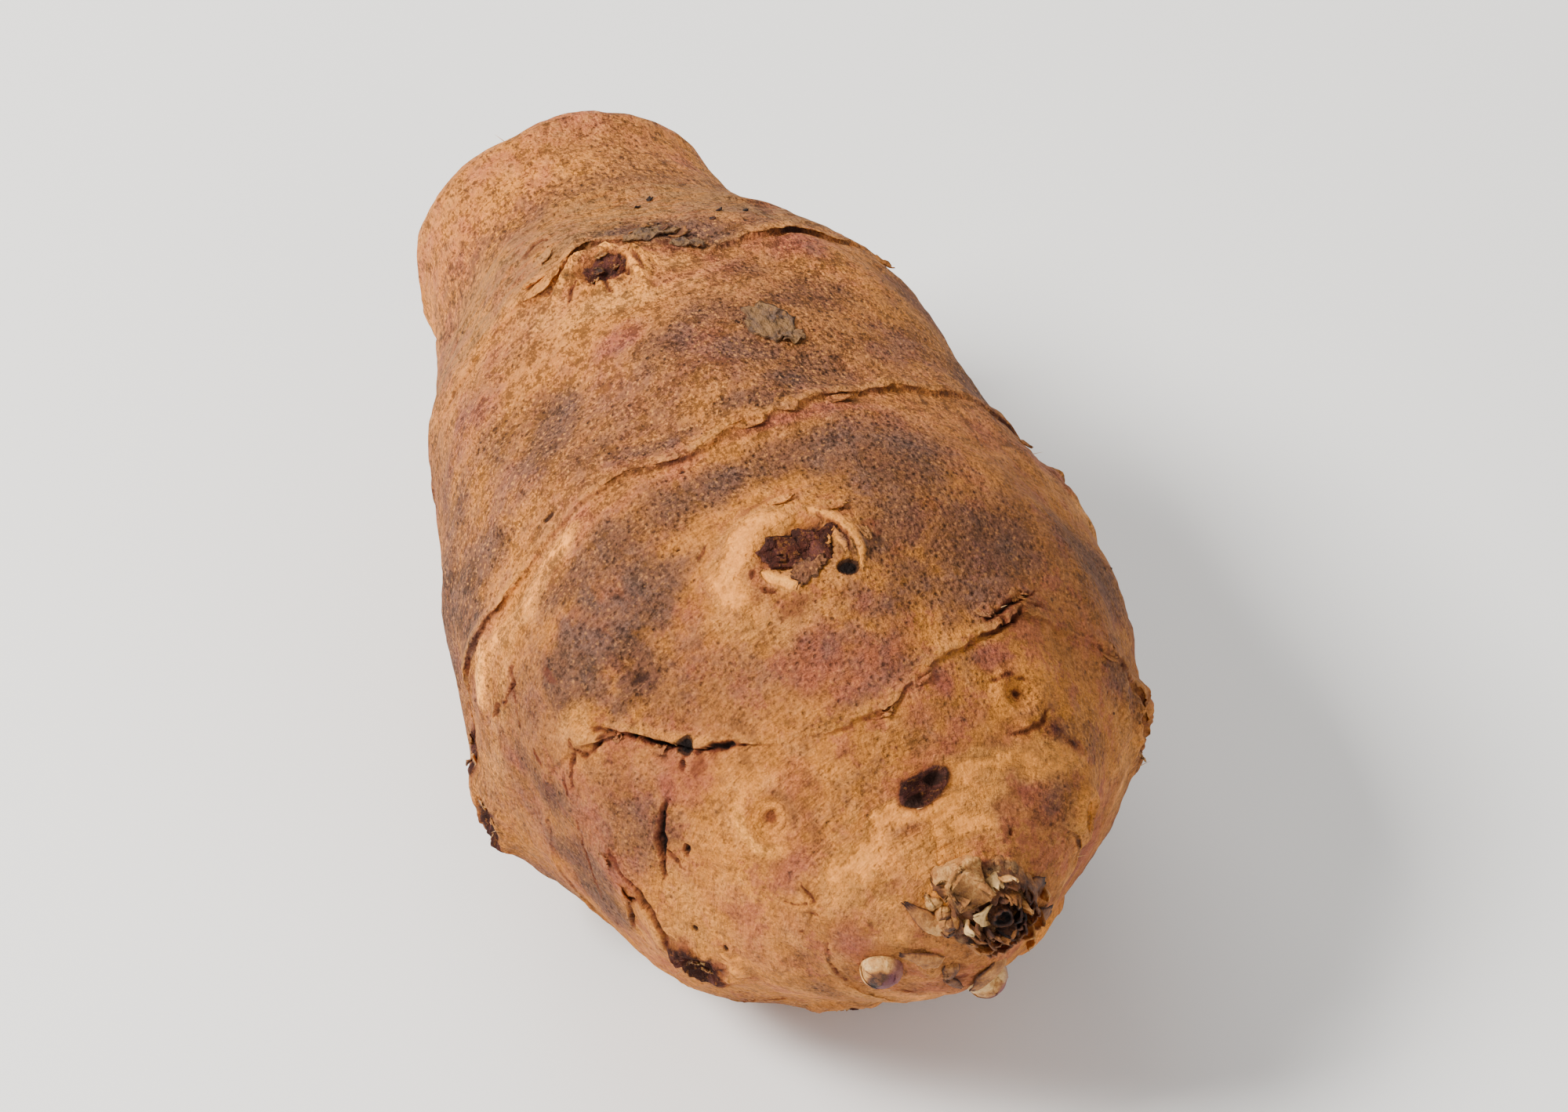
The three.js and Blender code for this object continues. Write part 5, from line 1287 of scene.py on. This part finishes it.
def lipStrip(k, settings):  # skin from the stem side running out over the ring, its free edge torn
    angle = np.linspace(-np.pi, np.pi, settings["columns"], endpoint=False)
    scarAlong, strength = scarAt(k, angle)
    circle = np.stack([20 * np.cos(angle), 20 * np.sin(angle), 0 * angle], -1)
    torn = grains(circle, [(0.5, 2.4, 60 + k), (0.45, 0.9, 70 + k), (0.3, 0.4, 80 + k)])
    edge = np.clip(settings["edge"] * strength + settings["tear"] * torn * strength, 0.02, 1.1)
    curl = settings["curl"] * (0.4 + grain(circle, 3.2, 90 + k)) * smooth(edge, 0.2, 0.8)
    rows = []
    for ahead, lift in settings["underSkin"]:
        rows.append((skinFrom(scarAlong + ahead, angle), 0 * angle, lift + 0 * angle, ahead))
    crest = skinFrom(scarAlong - 0.1, angle)
    # the rows over the ring get scarPast -0.12, so the free edge takes the crest's pale colour, partly
    # painted highlight
    for share in settings["overRing"]:
        rows.append((crest, edge * share, 0.03 + curl * share ** 2 - 0.12 * edge * share, -0.12))
    _, normal = bodyAt(scarAlong, angle)
    onward = bodyAt(scarAlong + 0.4, angle)[0] - bodyAt(scarAlong - 0.4, angle)[0]
    onward /= np.linalg.norm(onward, axis=1, keepdims=True)
    hidden = 1 - smooth(strength, 0.22, 0.4)
    points, fields = [], {}
    for (point, values), reach, lift, past in rows:
        points.append(point + onward * reach[:, None] + normal * (lift - 0.5 * hidden)[:, None] + bodyShift)
        for name, value in values.items():
            fields.setdefault(name, []).append(past + 0 * angle if name == "scarPast" else value)
    faces = gridFaces(len(rows), settings["columns"], closed=True)[:, ::-1]
    return np.concatenate(points), faces, {name: np.concatenate(value) for name, value in fields.items()}


lipStrips = [lipStrip(k, lipSettings) for k in lipSettings["rings"]]
addSheets("tornLips", lipStrips, skinFinish, lipSettings["thickness"])
print("ring lips made")


scaleColours = {
    "soot": tint(18, 12, 11), "bark": tint(58, 32, 22), "umber": tint(104, 62, 34),
    "amber": tint(164, 104, 48), "straw": tint(206, 146, 80), "cream": tint(234, 186, 122),
    "mauve": tint(120, 62, 72),
}


def makeScaleFinish(colours):  # tone runs from 0, black brown, to 1, cream; mauve is its share of purple
    material, graph = newFinish("scaleFinish")
    cloud, field = graph.cloud, graph.field
    place = graph.scaled(graph.add("ShaderNodeTexCoord", None, None, output=3), 1 / mm)
    blotch, speck = cloud(place, 0.9, 5, 0.65), cloud(place, 3.0, 4, 0.7)
    tone = field("tone") + 0.9 * (blotch - 0.5) + 0.5 * (speck - 0.5)
    colour = colours["soot"]
    for name, low, high in (("bark", 0.0, 0.2), ("umber", 0.2, 0.42), ("amber", 0.4, 0.62),
                            ("straw", 0.6, 0.8), ("cream", 0.8, 1.0)):
        colour = graph.blended(colour, colours[name], ramp(tone, low, high))
    purple = ramp(field("mauve") + 0.5 * (blotch - 0.5), 0.2, 0.8)
    colour = graph.blended(colour, colours["mauve"], 0.8 * purple)
    veins = ramp(cloud(place, 2.2, 2, 0.5), 0.56, 0.64)
    colour = graph.blended(colour, colours["umber"], 0.35 * veins)
    normal = graph.add("ShaderNodeBump", None,
                       {"Strength": 0.9, "Distance": 0.0003, "Height": speck + blotch})
    roughness = 0.62 - 0.18 * ramp(tone, 0.6, 1.0)
    endFinish(graph, {"Base Color": colour, "Roughness": roughness, "Normal": normal,
                      "Specular IOR Level": 0.3, "Subsurface Weight": 0.12,
                      "Subsurface Radius": (1.0, 0.5, 0.3), "Subsurface Scale": 0.0008})
    return material


scaleFinish = makeScaleFinish(scaleColours)


# Upright scales round the crown: turn from the tip's direction, distance from the middle, width, height,
# lean, bend, tone at the base, tone at the tip.
crownScales = [
    (166, 3.6, 3.0, 2.7, -12, -30, 0.5, 0.3), (187, 3.9, 2.6, 2.2, -14, -40, 0.45, 0.35),
    (206, 3.7, 1.3, 2.7, -18, -20, 0.8, 0.95), (264, 3.2, 2.2, 2.0, -6, -35, 0.42, 0.35),
    # the thin cream scale at turn 296 stands where a glint shows: a painted highlight
    (284, 4.2, 2.2, 1.9, -10, -35, 0.5, 0.35), (296, 2.7, 0.9, 2.3, 0, 20, 0.8, 0.95),
    (272, 1.3, 1.7, 1.9, 40, 20, 0.95, 1.05), (126, 1.9, 1.0, 2.6, 0, 10, 0.66, 0.7),
    (24, 1.9, 2.4, 2.4, 6, -20, 0.55, 0.45), (38, 2.4, 2.2, 2.1, 10, -10, 0.45, 0.3),
    (10, 2.5, 2.4, 2.0, 10, -20, 0.5, 0.4), (60, 2.6, 2.4, 2.4, 8, -25, 0.35, 0.2),
    (66, 3.7, 1.5, 2.4, 28, -60, 0.66, 0.62), (327, 3.0, 3.0, 2.0, 6, -40, 0.45, 0.42),
    (352, 3.4, 3.0, 1.7, 14, -20, 0.55, 0.5), (23, 3.8, 3.0, 1.7, 18, -25, 0.42, 0.3),
    (305, 3.7, 2.4, 1.8, 0, -35, 0.35, 0.3), (116, 3.5, 3.0, 2.4, 0, -40, 0.55, 0.3),
    (93, 3.7, 2.6, 2.1, 6, -35, 0.55, 0.4), (138, 3.6, 2.8, 2.4, -6, -35, 0.45, 0.25),
    (85, 2.2, 2.0, 2.4, -4, -20, 0.3, 0.1), (118, 2.1, 2.2, 2.5, -8, -30, 0.35, 0.12),
    (170, 2.3, 2.4, 2.5, -6, -25, 0.45, 0.35), (198, 2.6, 2.2, 2.4, -6, -35, 0.5, 0.4),
    (312, 2.0, 1.8, 2.0, 4, 20, 0.4, 0.35), (345, 1.9, 1.8, 2.0, 4, -20, 0.4, 0.25),
    (190, 3.2, 1.2, 2.5, 0, 25, 0.6, 0.8), (45, 1.4, 1.6, 1.9, 4, 20, 0.2, 0.1),
    (80, 4.6, 1.6, 2.1, 30, -60, 0.6, 0.5), (105, 5.0, 1.2, 1.7, 25, -60, 0.7, 0.62),
]
crownSettings = {"thickness": 0.14, "sunk": 0.9}


def crownLeaf(turn, distance, width, height, lean, bend, baseTone, tipTone, seed):
    middle, normal, forward, sideways = crownFrame()
    out = forward * math.cos(math.radians(turn)) + sideways * math.sin(math.radians(turn))
    up = normal + out * math.tan(math.radians(lean))
    up /= np.linalg.norm(up)
    away = out - up * out.dot(up)
    away /= np.linalg.norm(away)
    start = middle + bodyShift + out * distance - normal * distance ** 2 / 15 - up * crownSettings["sunk"]
    points, faces, t, u = leafSheet(start, up, away, height + crownSettings["sunk"], width, bend=bend,
                                    cup=0.6, blunt=3.0, ragged=0.5, crinkle=0.42, seed=seed)
    tone = 0.06 + baseTone + (tipTone - baseTone) * smooth(t, 0.3, 0.9) - 0.1 * np.abs(u) ** 3
    return points, faces, {"tone": tone, "mauve": 0.0}


addSheets("crownScales", [crownLeaf(*values, seed=200 + 7 * k) for k, values in enumerate(crownScales)],
          scaleFinish, crownSettings["thickness"])


# Scales that lie on the skin: (along, around) of the base and of the tip, width, lift at the tip, tone at
# the base and at the tip, mauve, bluntness, height of the arch across.
lyingScales = [
    ((93.6, -76), (88.7, -49), 1.75, 0.35, 0.95, 0.42, 0.1, 1.5, 0.45),  # spear beside the crown
    ((92.7, -128), (90, -90), 1.5, 0.35, 0.8, 0.55, 0.0, 1.7, 0.4),
    ((88.7, -12), (93.0, -25), 3.6, 0.1, 0.8, 0.6, 0.0, 3.4, 1.6),  # domed hood
    ((91.6, -44), (89.7, -38), 1.3, 0.3, 0.9, 0.8, 0.0, 2.4, 0.5),
    ((92.0, 160), (89.4, -174), 2.2, 0.4, 0.7, 0.55, 0.2, 2.2, 0.4),
    ((93.0, 120), (89.9, 102), 2.4, 0.4, 0.5, 0.35, 0.0, 2.2, 0.4),
    ((92.8, 60), (90.4, 66), 2.2, 0.4, 0.5, 0.3, 0.0, 2.4, 0.4),
    ((92.8, -140), (91.2, -150), 1.4, 0.3, 0.6, 0.45, 0.0, 2.0, 0.3),
    ((91.2, -150), (90.2, -168), 1.0, 0.3, 0.5, 0.3, 0.0, 2.0, 0.3),
]
lyingSettings = {"thickness": 0.09, "lift": 0.1}


def lyingLeaf(base, tip, width, lift, baseTone, tipTone, mauve, blunt, arch, seed):
    start, normal, *_ = skinPlace(*base)
    end = skinPlace(*tip)[0]
    onward = (end - start) / np.linalg.norm(end - start)
    outward = normal - onward * normal.dot(onward)
    outward /= np.linalg.norm(outward)
    points, faces, t, u = leafSheet(start, onward, outward, np.linalg.norm(end - start), width, cup=0.0,
                                    blunt=blunt, ragged=0.14, crinkle=0.0, seed=seed, rows=20, columns=13)
    dome = np.sqrt(np.clip((1 - u ** 2) * np.sin(np.pi * t), 0, 1))
    rise = lyingSettings["lift"] + lift * t ** 2 * (0.6 + 0.4 * u ** 2) + arch * dome
    rise = rise + (0.05 + 0.08 * arch) * grain(points, 1.1, seed) - 0.3 * (1 - smooth(t, 0, 0.12))
    rim = smooth(np.maximum(np.abs(u), t), 0.86, 1.0)
    tone = baseTone - 0.05 + (tipTone - baseTone) * t - 0.28 * rim
    return laidOn(points, rise), faces, {"tone": tone, "mauve": mauve * (0.4 + 0.6 * t)}


addSheets("paperBracts", [lyingLeaf(*values, seed=400 + 9 * k) for k, values in enumerate(lyingScales)],
          scaleFinish, lyingSettings["thickness"])


# The withered shoot in the crown's middle: shares of the radius and the height, from its foot round its
# mouth and down inside.
shootOutline = np.array([(1.25, -1.2), (1.12, -0.2), (1.0, 0.5), (1.02, 0.85), (0.92, 1.0), (0.72, 0.92),
                         (0.62, 0.6), (0.55, 0.1), (0.3, -0.15), (0.0, -0.2)])
shootSettings = {"radius": 0.85, "height": 0.8625, "rows": 26, "columns": 40}


def crownShootPart(settings):  # a short hollow stump, ragged at its mouth, with painted shade black down inside it
    middle, normal, forward, sideways = crownFrame()
    t = np.linspace(0, len(shootOutline) - 1, settings["rows"])
    radius = np.interp(t, range(len(shootOutline)), shootOutline[:, 0]) * settings["radius"]
    rise = np.interp(t, range(len(shootOutline)), shootOutline[:, 1]) * settings["height"]
    angle = 2 * np.pi * np.arange(settings["columns"]) / settings["columns"]
    ragged = 0.45 * grain(np.stack([2 * np.cos(angle), 2 * np.sin(angle), 0 * angle], -1), 0.9, 31)
    around = forward * np.cos(angle)[:, None] + sideways * np.sin(angle)[:, None]
    height = rise[:, None] + ragged * smooth(rise, 0.2, 1.2)[:, None]
    point = middle + bodyShift + around[None] * radius[:, None, None] + normal * height[..., None]
    point += around[None] * (0.14 * grain(point, 0.8, 32))[..., None]
    # painted shade: the rows down inside the hollow go to black
    tone = np.broadcast_to((0.28 - 0.28 * smooth(t, 3.5, 5.5))[:, None], height.shape)
    faces = gridFaces(settings["rows"], settings["columns"], closed=True)
    return point.reshape(-1, 3), faces, {"tone": tone.ravel(), "mauve": 0.0}


shootPiece = placed("crownShoot", joinedMesh("crownShoot", [crownShootPart(shootSettings)]), scaleFinish)
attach(shootPiece, "root")
print("crown made")


# Buds: along, around, radius, length, lean, tone, mauve, turn of the first scale.
buds = [
    (88.7, -110, 1.6, 2.7, 10, 0.84, 0.9, 67), (88.9, 171, 1.6, 3.1, 22, 1.0, 0.8, 40),
    (93.0, -53, 0.75, 1.4, 0, 0.66, 0.0, 40), (92.2, -45, 0.6, 1.1, 0, 0.7, 0.0, 200),
    (93.4, -64, 0.6, 1.1, 0, 0.5, 0.0, 100),
]
budOutline = np.array([(0, -0.45), (0.62, -0.34), (0.94, -0.1), (1, 0.14), (0.84, 0.36), (0.5, 0.52),
                       (0, 0.62)])  # radius and height shares from base to point
budSettings = {"scales": 3, "nextTurn": 137, "thickness": 0.05, "rows": 22, "columns": 36}


def budProfile(t):  # the outline's shares at t, with a rounder radius
    place = t * (len(budOutline) - 1)
    radius, height = (np.interp(place, range(len(budOutline)), shares) for shares in budOutline.T)
    return np.sqrt(np.clip(radius, 0, 1) * (2 - radius)) * 0.25 + 0.75 * radius, height


def budParts(along, around, radius, length, lean, tone, mauve, firstTurn, seed):
    spot, normal, forward, sideways = skinSpot(along, around)
    spot = spot + bodyShift
    turn = math.radians(lean)
    up = normal * math.cos(turn) + forward * math.sin(turn)
    ahead = forward * math.cos(turn) - normal * math.sin(turn)
    towardsLight = litSide / np.linalg.norm(litSide)

    def shell(t, angle, grow):  # points on the bud's outline and the way out there
        share, height = budProfile(t)
        way = ahead * np.cos(angle)[..., None] + sideways * np.sin(angle)[..., None]
        point = spot + up * (height * length)[..., None] + way * (share * radius + grow)[..., None]
        return point + way * (0.05 * radius * grain(point, 1.3, seed))[..., None], way

    def fields(t, toneHere, mauveHere):  # the big buds are dark where they point
        dried = (mauve > 0) * (2.4 - 2.2 * tone) * smooth(t, 0.72, 0.86)
        return {"tone": (toneHere - dried).ravel(), "mauve": (mauve * mauveHere).ravel()}

    columns = budSettings["columns"]
    t, angle = np.meshgrid(np.linspace(0.01, 1, budSettings["rows"]),
                           2 * np.pi * np.arange(columns) / columns, indexing="ij")
    core, way = shell(t, angle, -0.06)
    # painted light and shade: the core is lighter and less purple on the side towards the light, darker and
    # more purple away from it
    lit = way @ towardsLight
    parts = [(core.reshape(-1, 3), gridFaces(*t.shape, closed=True),
              fields(t, tone - 0.2 + 0.2 * lit, 0.5 - 1.2 * lit))]
    for k in range(budSettings["scales"]):
        middle = math.radians(firstTurn + budSettings["nextTurn"] * k)
        t, u = np.meshgrid(np.linspace(0.02, 0.98 - 0.07 * k, 14), np.linspace(-1, 1, 15), indexing="ij")
        spread = (1.25 - 0.12 * k) * (1 - (t / (1.0 - 0.07 * k)) ** 3.2) ** 0.55
        grow = -0.02 + 0.035 * (budSettings["scales"] - k)
        point, way = shell(t * (1 - 0.06 * np.abs(u) ** 2), middle + spread * u, grow)
        # painted light and shade: each scale likewise lighter and less purple towards the light
        lit = way @ towardsLight
        rim = smooth(np.maximum(np.abs(u), t), 0.85, 1.0)
        parts.append((point.reshape(-1, 3), gridFaces(*t.shape),
                      fields(t, tone - 0.05 + 0.12 * lit - 0.2 * rim, 0.5 - 1.4 * lit)))
    return parts


budMeshParts = [part for k, values in enumerate(buds) for part in budParts(*values, seed=500 + k)]
addSheets("buds", budMeshParts, scaleFinish, budSettings["thickness"])
print("buds made")


# Flakes of old skin: along, around, heading (0 to the tip, 90 towards +around), length, width, lift, tone.
oldSkin = [
    (20.8, -4, 75, 2.2, 1.0, 0.3, 0.3), (21.4, 0, 85, 2.6, 1.1, 0.4, 0.22),
    (22.6, 4, 55, 2.2, 1.2, 0.35, 0.32), (23.0, -14, -70, 1.4, 0.6, 0.25, 0.55),
    (25.6, -20, 20, 1.4, 0.5, 0.2, 0.5), (24.4, -17, 60, 1.2, 0.6, 0.25, 0.25),
    (24.8, -13, -40, 1.3, 0.6, 0.25, 0.3), (73.2, -110, 20, 1.3, 0.6, 0.25, 0.3),
    (74.6, -115, 100, 1.3, 0.6, 0.25, 0.4), (74.2, -112, 160, 1.1, 0.5, 0.25, 0.6),
    (49.4, -108, 30, 2.0, 1.2, 0.35, 0.45), (49.6, -116, -30, 1.8, 1.0, 0.35, 0.4),
    (52.6, -110, 160, 1.8, 1.0, 0.35, 0.4), (46.6, -99, 20, 1.4, 0.7, 0.35, 0.45),
    (47.2, -103, -30, 1.5, 0.8, 0.35, 0.4), (48.2, -100, 90, 1.4, 0.7, 0.3, 0.5),
    (70.2, 88, 10, 2.2, 1.4, 0.4, 0.45), (68.4, 92, 170, 2.0, 1.2, 0.4, 0.5),
    (70.6, 95, 60, 1.8, 1.0, 0.35, 0.55), (50.2, 75, 40, 2.2, 1.3, 0.4, 0.4),
    (49.4, 80, -40, 2.0, 1.2, 0.35, 0.5), (26.4, 162, 20, 2.0, 1.2, 0.35, 0.5),
    (61.6, 148, -20, 2.2, 1.2, 0.4, 0.45), (63.4, 144, 90, 1.8, 1.0, 0.35, 0.5),
    (77.2, -156, 20, 1.8, 1.0, 0.35, 0.5), (32.0, 118, 20, 2.4, 1.6, 0.4, 0.4),
    (33.6, 121, -50, 2.0, 1.4, 0.4, 0.35), (88.2, 138, 30, 1.6, 1.1, 0.5, 0.62),
    (16.3, 2, 0, 0.55, 0.45, 0.1, -0.1), (15.2, 7, 90, 0.6, 0.4, 0.1, -0.1),
    (20.2, 18, 30, 0.55, 0.5, 0.1, -0.1), (19.9, 26, 80, 0.6, 0.3, 0.1, -0.1),
    (21.6, 14, 60, 0.7, 0.3, 0.1, 0.1),
]
flakeSettings = {"thickness": 0.1, "ragged": 0.45}


def flake(along, around, heading, length, width, lift, tone, seed):
    spot, normal, way = headedPlace(along, around, heading)
    points, faces, t, u = leafSheet(spot - way * 0.4 * length, way, normal, length, width, cup=0.0,
                                    blunt=3.2, ragged=flakeSettings["ragged"], crinkle=0.0, seed=seed,
                                    rows=12, columns=9)
    rise = 0.05 + lift * t ** 2 + 0.12 * grain(points, 0.7, seed) - 0.3 * (1 - smooth(t, 0, 0.2))
    rise += 0.12 * u ** 2 * t
    rim = smooth(np.maximum(np.abs(u), t), 0.75, 1.0)
    return laidOn(points, rise), faces, {"tone": tone + 0.18 * rim + 0 * t, "mauve": 0.0}


def skinValues(along, around):  # what is painted on the skin at a place, without its tears and holes
    fields = skinFrom(np.array([float(along)]), np.array([math.radians(around)]))[1]
    values = {name: float(value[0]) for name, value in fields.items()}
    return {**values, "crackGap": 6.0, "scab": 0.0, "ink": 0.0, "folds": 0.0}


# Flaps of living skin beside the tears, coloured as the skin they hang on: the same values without a tone.
skinFlaps = [
    (66.9, -55, 70, 1.6, 0.7, 0.3), (63.6, -59, 110, 1.4, 0.6, 0.3), (58.4, 0, 65, 2.6, 1.1, 0.4),
    (61.4, 1.5, -20, 2.4, 1.0, 0.35), (60.8, -2, 20, 2.0, 0.9, 0.3), (56.6, -7, 80, 2.6, 0.8, 0.3),
    (47.6, -3, 80, 3.0, 1.2, 0.4), (47.5, 3, 60, 2.6, 1.2, 0.4), (47.2, 14, 100, 2.8, 1.2, 0.35),
    (74.8, -10, 70, 2.6, 1.0, 0.35), (73.6, 2, 110, 2.4, 1.1, 0.35), (69.2, 22, 40, 2.2, 1.2, 0.4),
    (67.8, 31, 60, 2.0, 1.1, 0.4), (68.0, -95, 0, 2.2, 1.3, 0.35), (66.4, -88, 40, 2.0, 1.1, 0.3),
    (19.6, -26, 100, 2.2, 0.9, 0.25), (21.9, -30, -70, 2.6, 1.0, 0.3), (62.6, 116, 30, 2.4, 1.4, 0.4),
    (58.6, 114, -20, 2.2, 1.3, 0.4), (43.6, -131, 20, 2.4, 1.4, 0.4), (47.0, -129, -30, 2.2, 1.2, 0.4),
    (46.9, 60, 90, 2.8, 1.2, 0.35), (46.4, 120, 70, 2.6, 1.2, 0.35), (69.6, 60, 80, 2.6, 1.2, 0.35),
    (24.2, 60, 80, 2.6, 1.0, 0.3),
]


def skinFlap(along, around, heading, length, width, lift, seed):
    points, faces, _ = flake(along, around, heading, length, width, lift, 0.5, seed)
    # scarPast -0.5 gives the flaps some of the scar crest's pale straw, partly painted highlight
    return points, faces, {**skinValues(along, around), "scarPast": -0.5, "scarStrength": 0.5}


# Crusts: along, around, heading, length, width, lift, curl of the edge, and what they are made of.
crusts = [
    (60.7, -9, 70, 5.8, 3.8, 0.32, 0.12, {"scab": 1.0}),
    (63.3, -10, 100, 3.2, 1.9, 0.3, 0.2, {"dusk": 1.7, "blush": 0.0}),
    (37.9, 8.5, 30, 4.4, 3.5, 0.28, 0.4, {"crust": 1.0}),
    (39.6, 11.5, 70, 2.0, 1.4, 0.3, 0.3, {"crust": 1.0}),
    (22.0, -1, 85, 4.2, 1.3, 0.25, 0.3, {"crust": 1.0}), (24.4, 5, 50, 2.6, 1.3, 0.25, 0.3, {"crust": 1.0}),
    (50.2, 77, 80, 3.6, 2.4, 0.3, 0.2, {"scab": 1.0}), (62.2, 146, 60, 3.2, 2.3, 0.3, 0.2, {"scab": 1.0}),
    (38.5, -148, 30, 4.0, 2.8, 0.25, 0.35, {"crust": 1.0}),
    (68.0, 176, 80, 3.4, 2.4, 0.25, 0.35, {"crust": 1.0}),
    (77.1, -158, 40, 2.3, 1.7, 0.3, 0.2, {"scab": 1.0}),
]


def crustPart(along, around, heading, length, width, lift, curl, made, seed):
    points, faces, share = crustSheet(along, around, heading, length, width, lift, curl, seed)
    values = {**skinValues(along, around), "scarPast": 12.0, "rot": 0.0, "crust": 0.0, **made}
    values["pale"] = 0.9 * smooth(share, 0.86, 1.0)
    return points, faces, values


addSheets("crusts", [crustPart(*values, seed=1200 + 9 * k) for k, values in enumerate(crusts)],
          skinFinish, flakeSettings["thickness"])
addSheets("skinFlaps", [skinFlap(*values, seed=900 + 5 * k) for k, values in enumerate(skinFlaps)],
          skinFinish, flakeSettings["thickness"])
addSheets("oldSkinFlakes", [flake(*values, seed=700 + 5 * k) for k, values in enumerate(oldSkin)],
          scaleFinish, flakeSettings["thickness"])
print("flakes laid")


def newScatter(name, settings, finish):  # a geometry tree with the skin coming in and named inputs
    tree = bpy.data.node_groups.new(name, "GeometryNodeTree")
    graph = Graph(tree)
    tree.interface.new_socket("Skin", in_out="INPUT", socket_type="NodeSocketGeometry")
    tree.interface.new_socket("Pieces", in_out="OUTPUT", socket_type="NodeSocketGeometry")
    kinds = {"Seed": "NodeSocketInt", "Finish": "NodeSocketMaterial"}
    keys = {}
    for label, value in {**settings, "Finish": finish}.items():
        kind = kinds.get(label, "NodeSocketFloat")
        socket = tree.interface.new_socket(label, in_out="INPUT", socket_type=kind)
        keys[label] = (socket.identifier, value)
    skin = graph.add("NodeGroupInput")
    return tree, graph, skin, {label: skin.sibling(k + 1) for k, label in enumerate(keys)}, keys


def pointsOver(graph, skin, wires, fieldName):  # points on the skin, as dense as the painted field says
    where = graph.add("GeometryNodeInputNamedAttribute", {"data_type": "FLOAT"}, {"Name": fieldName})
    return graph.add("GeometryNodeDistributePointsOnFaces", None,
                     {"Mesh": skin, "Density": wires["Density"] * where, "Seed": wires["Seed"]})


def anyVector(graph, low, high, seed):
    return graph.add("FunctionNodeRandomValue", {"data_type": "FLOAT_VECTOR"},
                     {0: low, 1: high, "Seed": seed})


def anyNumber(graph, low, high, seed):
    return graph.add("FunctionNodeRandomValue", {"data_type": "FLOAT"},
                     {2: low, 3: high, "Seed": seed}, output=1)


def endScatter(graph, points, shape, turned, size, finish):
    copies = graph.add("GeometryNodeInstanceOnPoints", None,
                       {"Points": points, "Instance": shape, "Rotation": turned, "Scale": size})
    real = graph.add("GeometryNodeRealizeInstances", None, {"Geometry": copies})
    painted = graph.add("GeometryNodeSetMaterial", None, {"Geometry": real, "Material": finish})
    graph.add("NodeGroupOutput", None, {0: painted})


def scattered(name, tree, keys):  # runs the tree on the skin and keeps the result as a plain mesh
    carrier = placed(name + "Carrier", tuberMesh.copy())
    modifier = carrier.modifiers.new("scatter", "NODES")
    modifier.node_group = tree
    for identifier, value in keys.values():
        modifier[identifier] = value
    held = carrier.evaluated_get(bpy.context.evaluated_depsgraph_get())
    mesh = bpy.data.meshes.new_from_object(held)
    mesh.name = name
    bpy.data.objects.remove(carrier)
    points = np.empty(3 * len(mesh.vertices))
    mesh.vertices.foreach_get("co", points)
    mesh.vertices.foreach_set("co", (kept(points.reshape(-1, 3) / mm, 0.3) * mm).ravel())
    piece = placed(name, mesh)
    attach(piece, "root")
    return piece


# Crumbs of soil and torn fibres, scattered over the skin: sizes in metres, densities by the square metre.
fullTurn = 6.28  # radians
crumbSettings = {"Density": 15000.0, "Smallest": 0.00005, "Largest": 0.00014, "Seed": 3}
fibreSettings = {"Density": 26000.0, "Shortest": 0.0004, "Longest": 0.0011, "Thickness": 0.00004, "Seed": 8}


def makeCrumbs(settings, finish):
    tree, graph, skin, wires, keys = newScatter("crumbScatter", settings, finish)
    points = pointsOver(graph, skin, wires, "crumbs")
    ball = graph.add("GeometryNodeMeshIcoSphere", None, {"Radius": 1.0, "Subdivisions": 2})
    spot = graph.add("GeometryNodeInputPosition")
    lumps = graph.add("ShaderNodeTexNoise", None, {"Vector": spot, "Scale": 1.3, "Detail": 2.0}, output=1)
    moved = graph.scaled(graph.vector("SUBTRACT", lumps, (0.5, 0.5, 0.5)), 1.3)
    shape = graph.add("GeometryNodeSetPosition", None, {"Geometry": ball, "Offset": moved})
    turned = anyVector(graph, (0, 0, 0), (fullTurn, fullTurn, fullTurn), wires["Seed"])
    size = anyNumber(graph, wires["Smallest"], wires["Largest"], wires["Seed"])
    endScatter(graph, points, shape, turned, size, wires["Finish"])
    return scattered("soilCrumbs", tree, keys)


def makeFibres(settings, finish):
    tree, graph, skin, wires, keys = newScatter("fibreScatter", settings, finish)
    points = pointsOver(graph, skin, wires, "fibres")
    spike = graph.add("GeometryNodeMeshCone", None, {"Vertices": 6, "Side Segments": 3, "Radius Top": 0.15,
                                                     "Radius Bottom": 1.0, "Depth": 1.0})
    tilt = anyVector(graph, (-1.1, -1.1, 0), (1.1, 1.1, fullTurn), wires["Seed"])
    turned = graph.add("FunctionNodeRotateEuler", {"space": "LOCAL"}, {0: points.sibling(2), 1: tilt})
    tall = anyNumber(graph, wires["Shortest"], wires["Longest"], wires["Seed"])
    size = graph.joined(wires["Thickness"], wires["Thickness"], tall)
    endScatter(graph, points, spike, turned, size, wires["Finish"])
    return scattered("tornFibres", tree, keys)


def plainFinish(name, colour, roughness):
    material, graph = newFinish(name)
    endFinish(graph, {"Base Color": colour, "Roughness": roughness, "Specular IOR Level": 0.2})
    return material


makeCrumbs(crumbSettings, plainFinish("soil", tint(88, 60, 42), 0.9))
makeFibres(fibreSettings, plainFinish("fibre", tint(196, 150, 100), 0.8))
print("crumbs and fibres scattered")
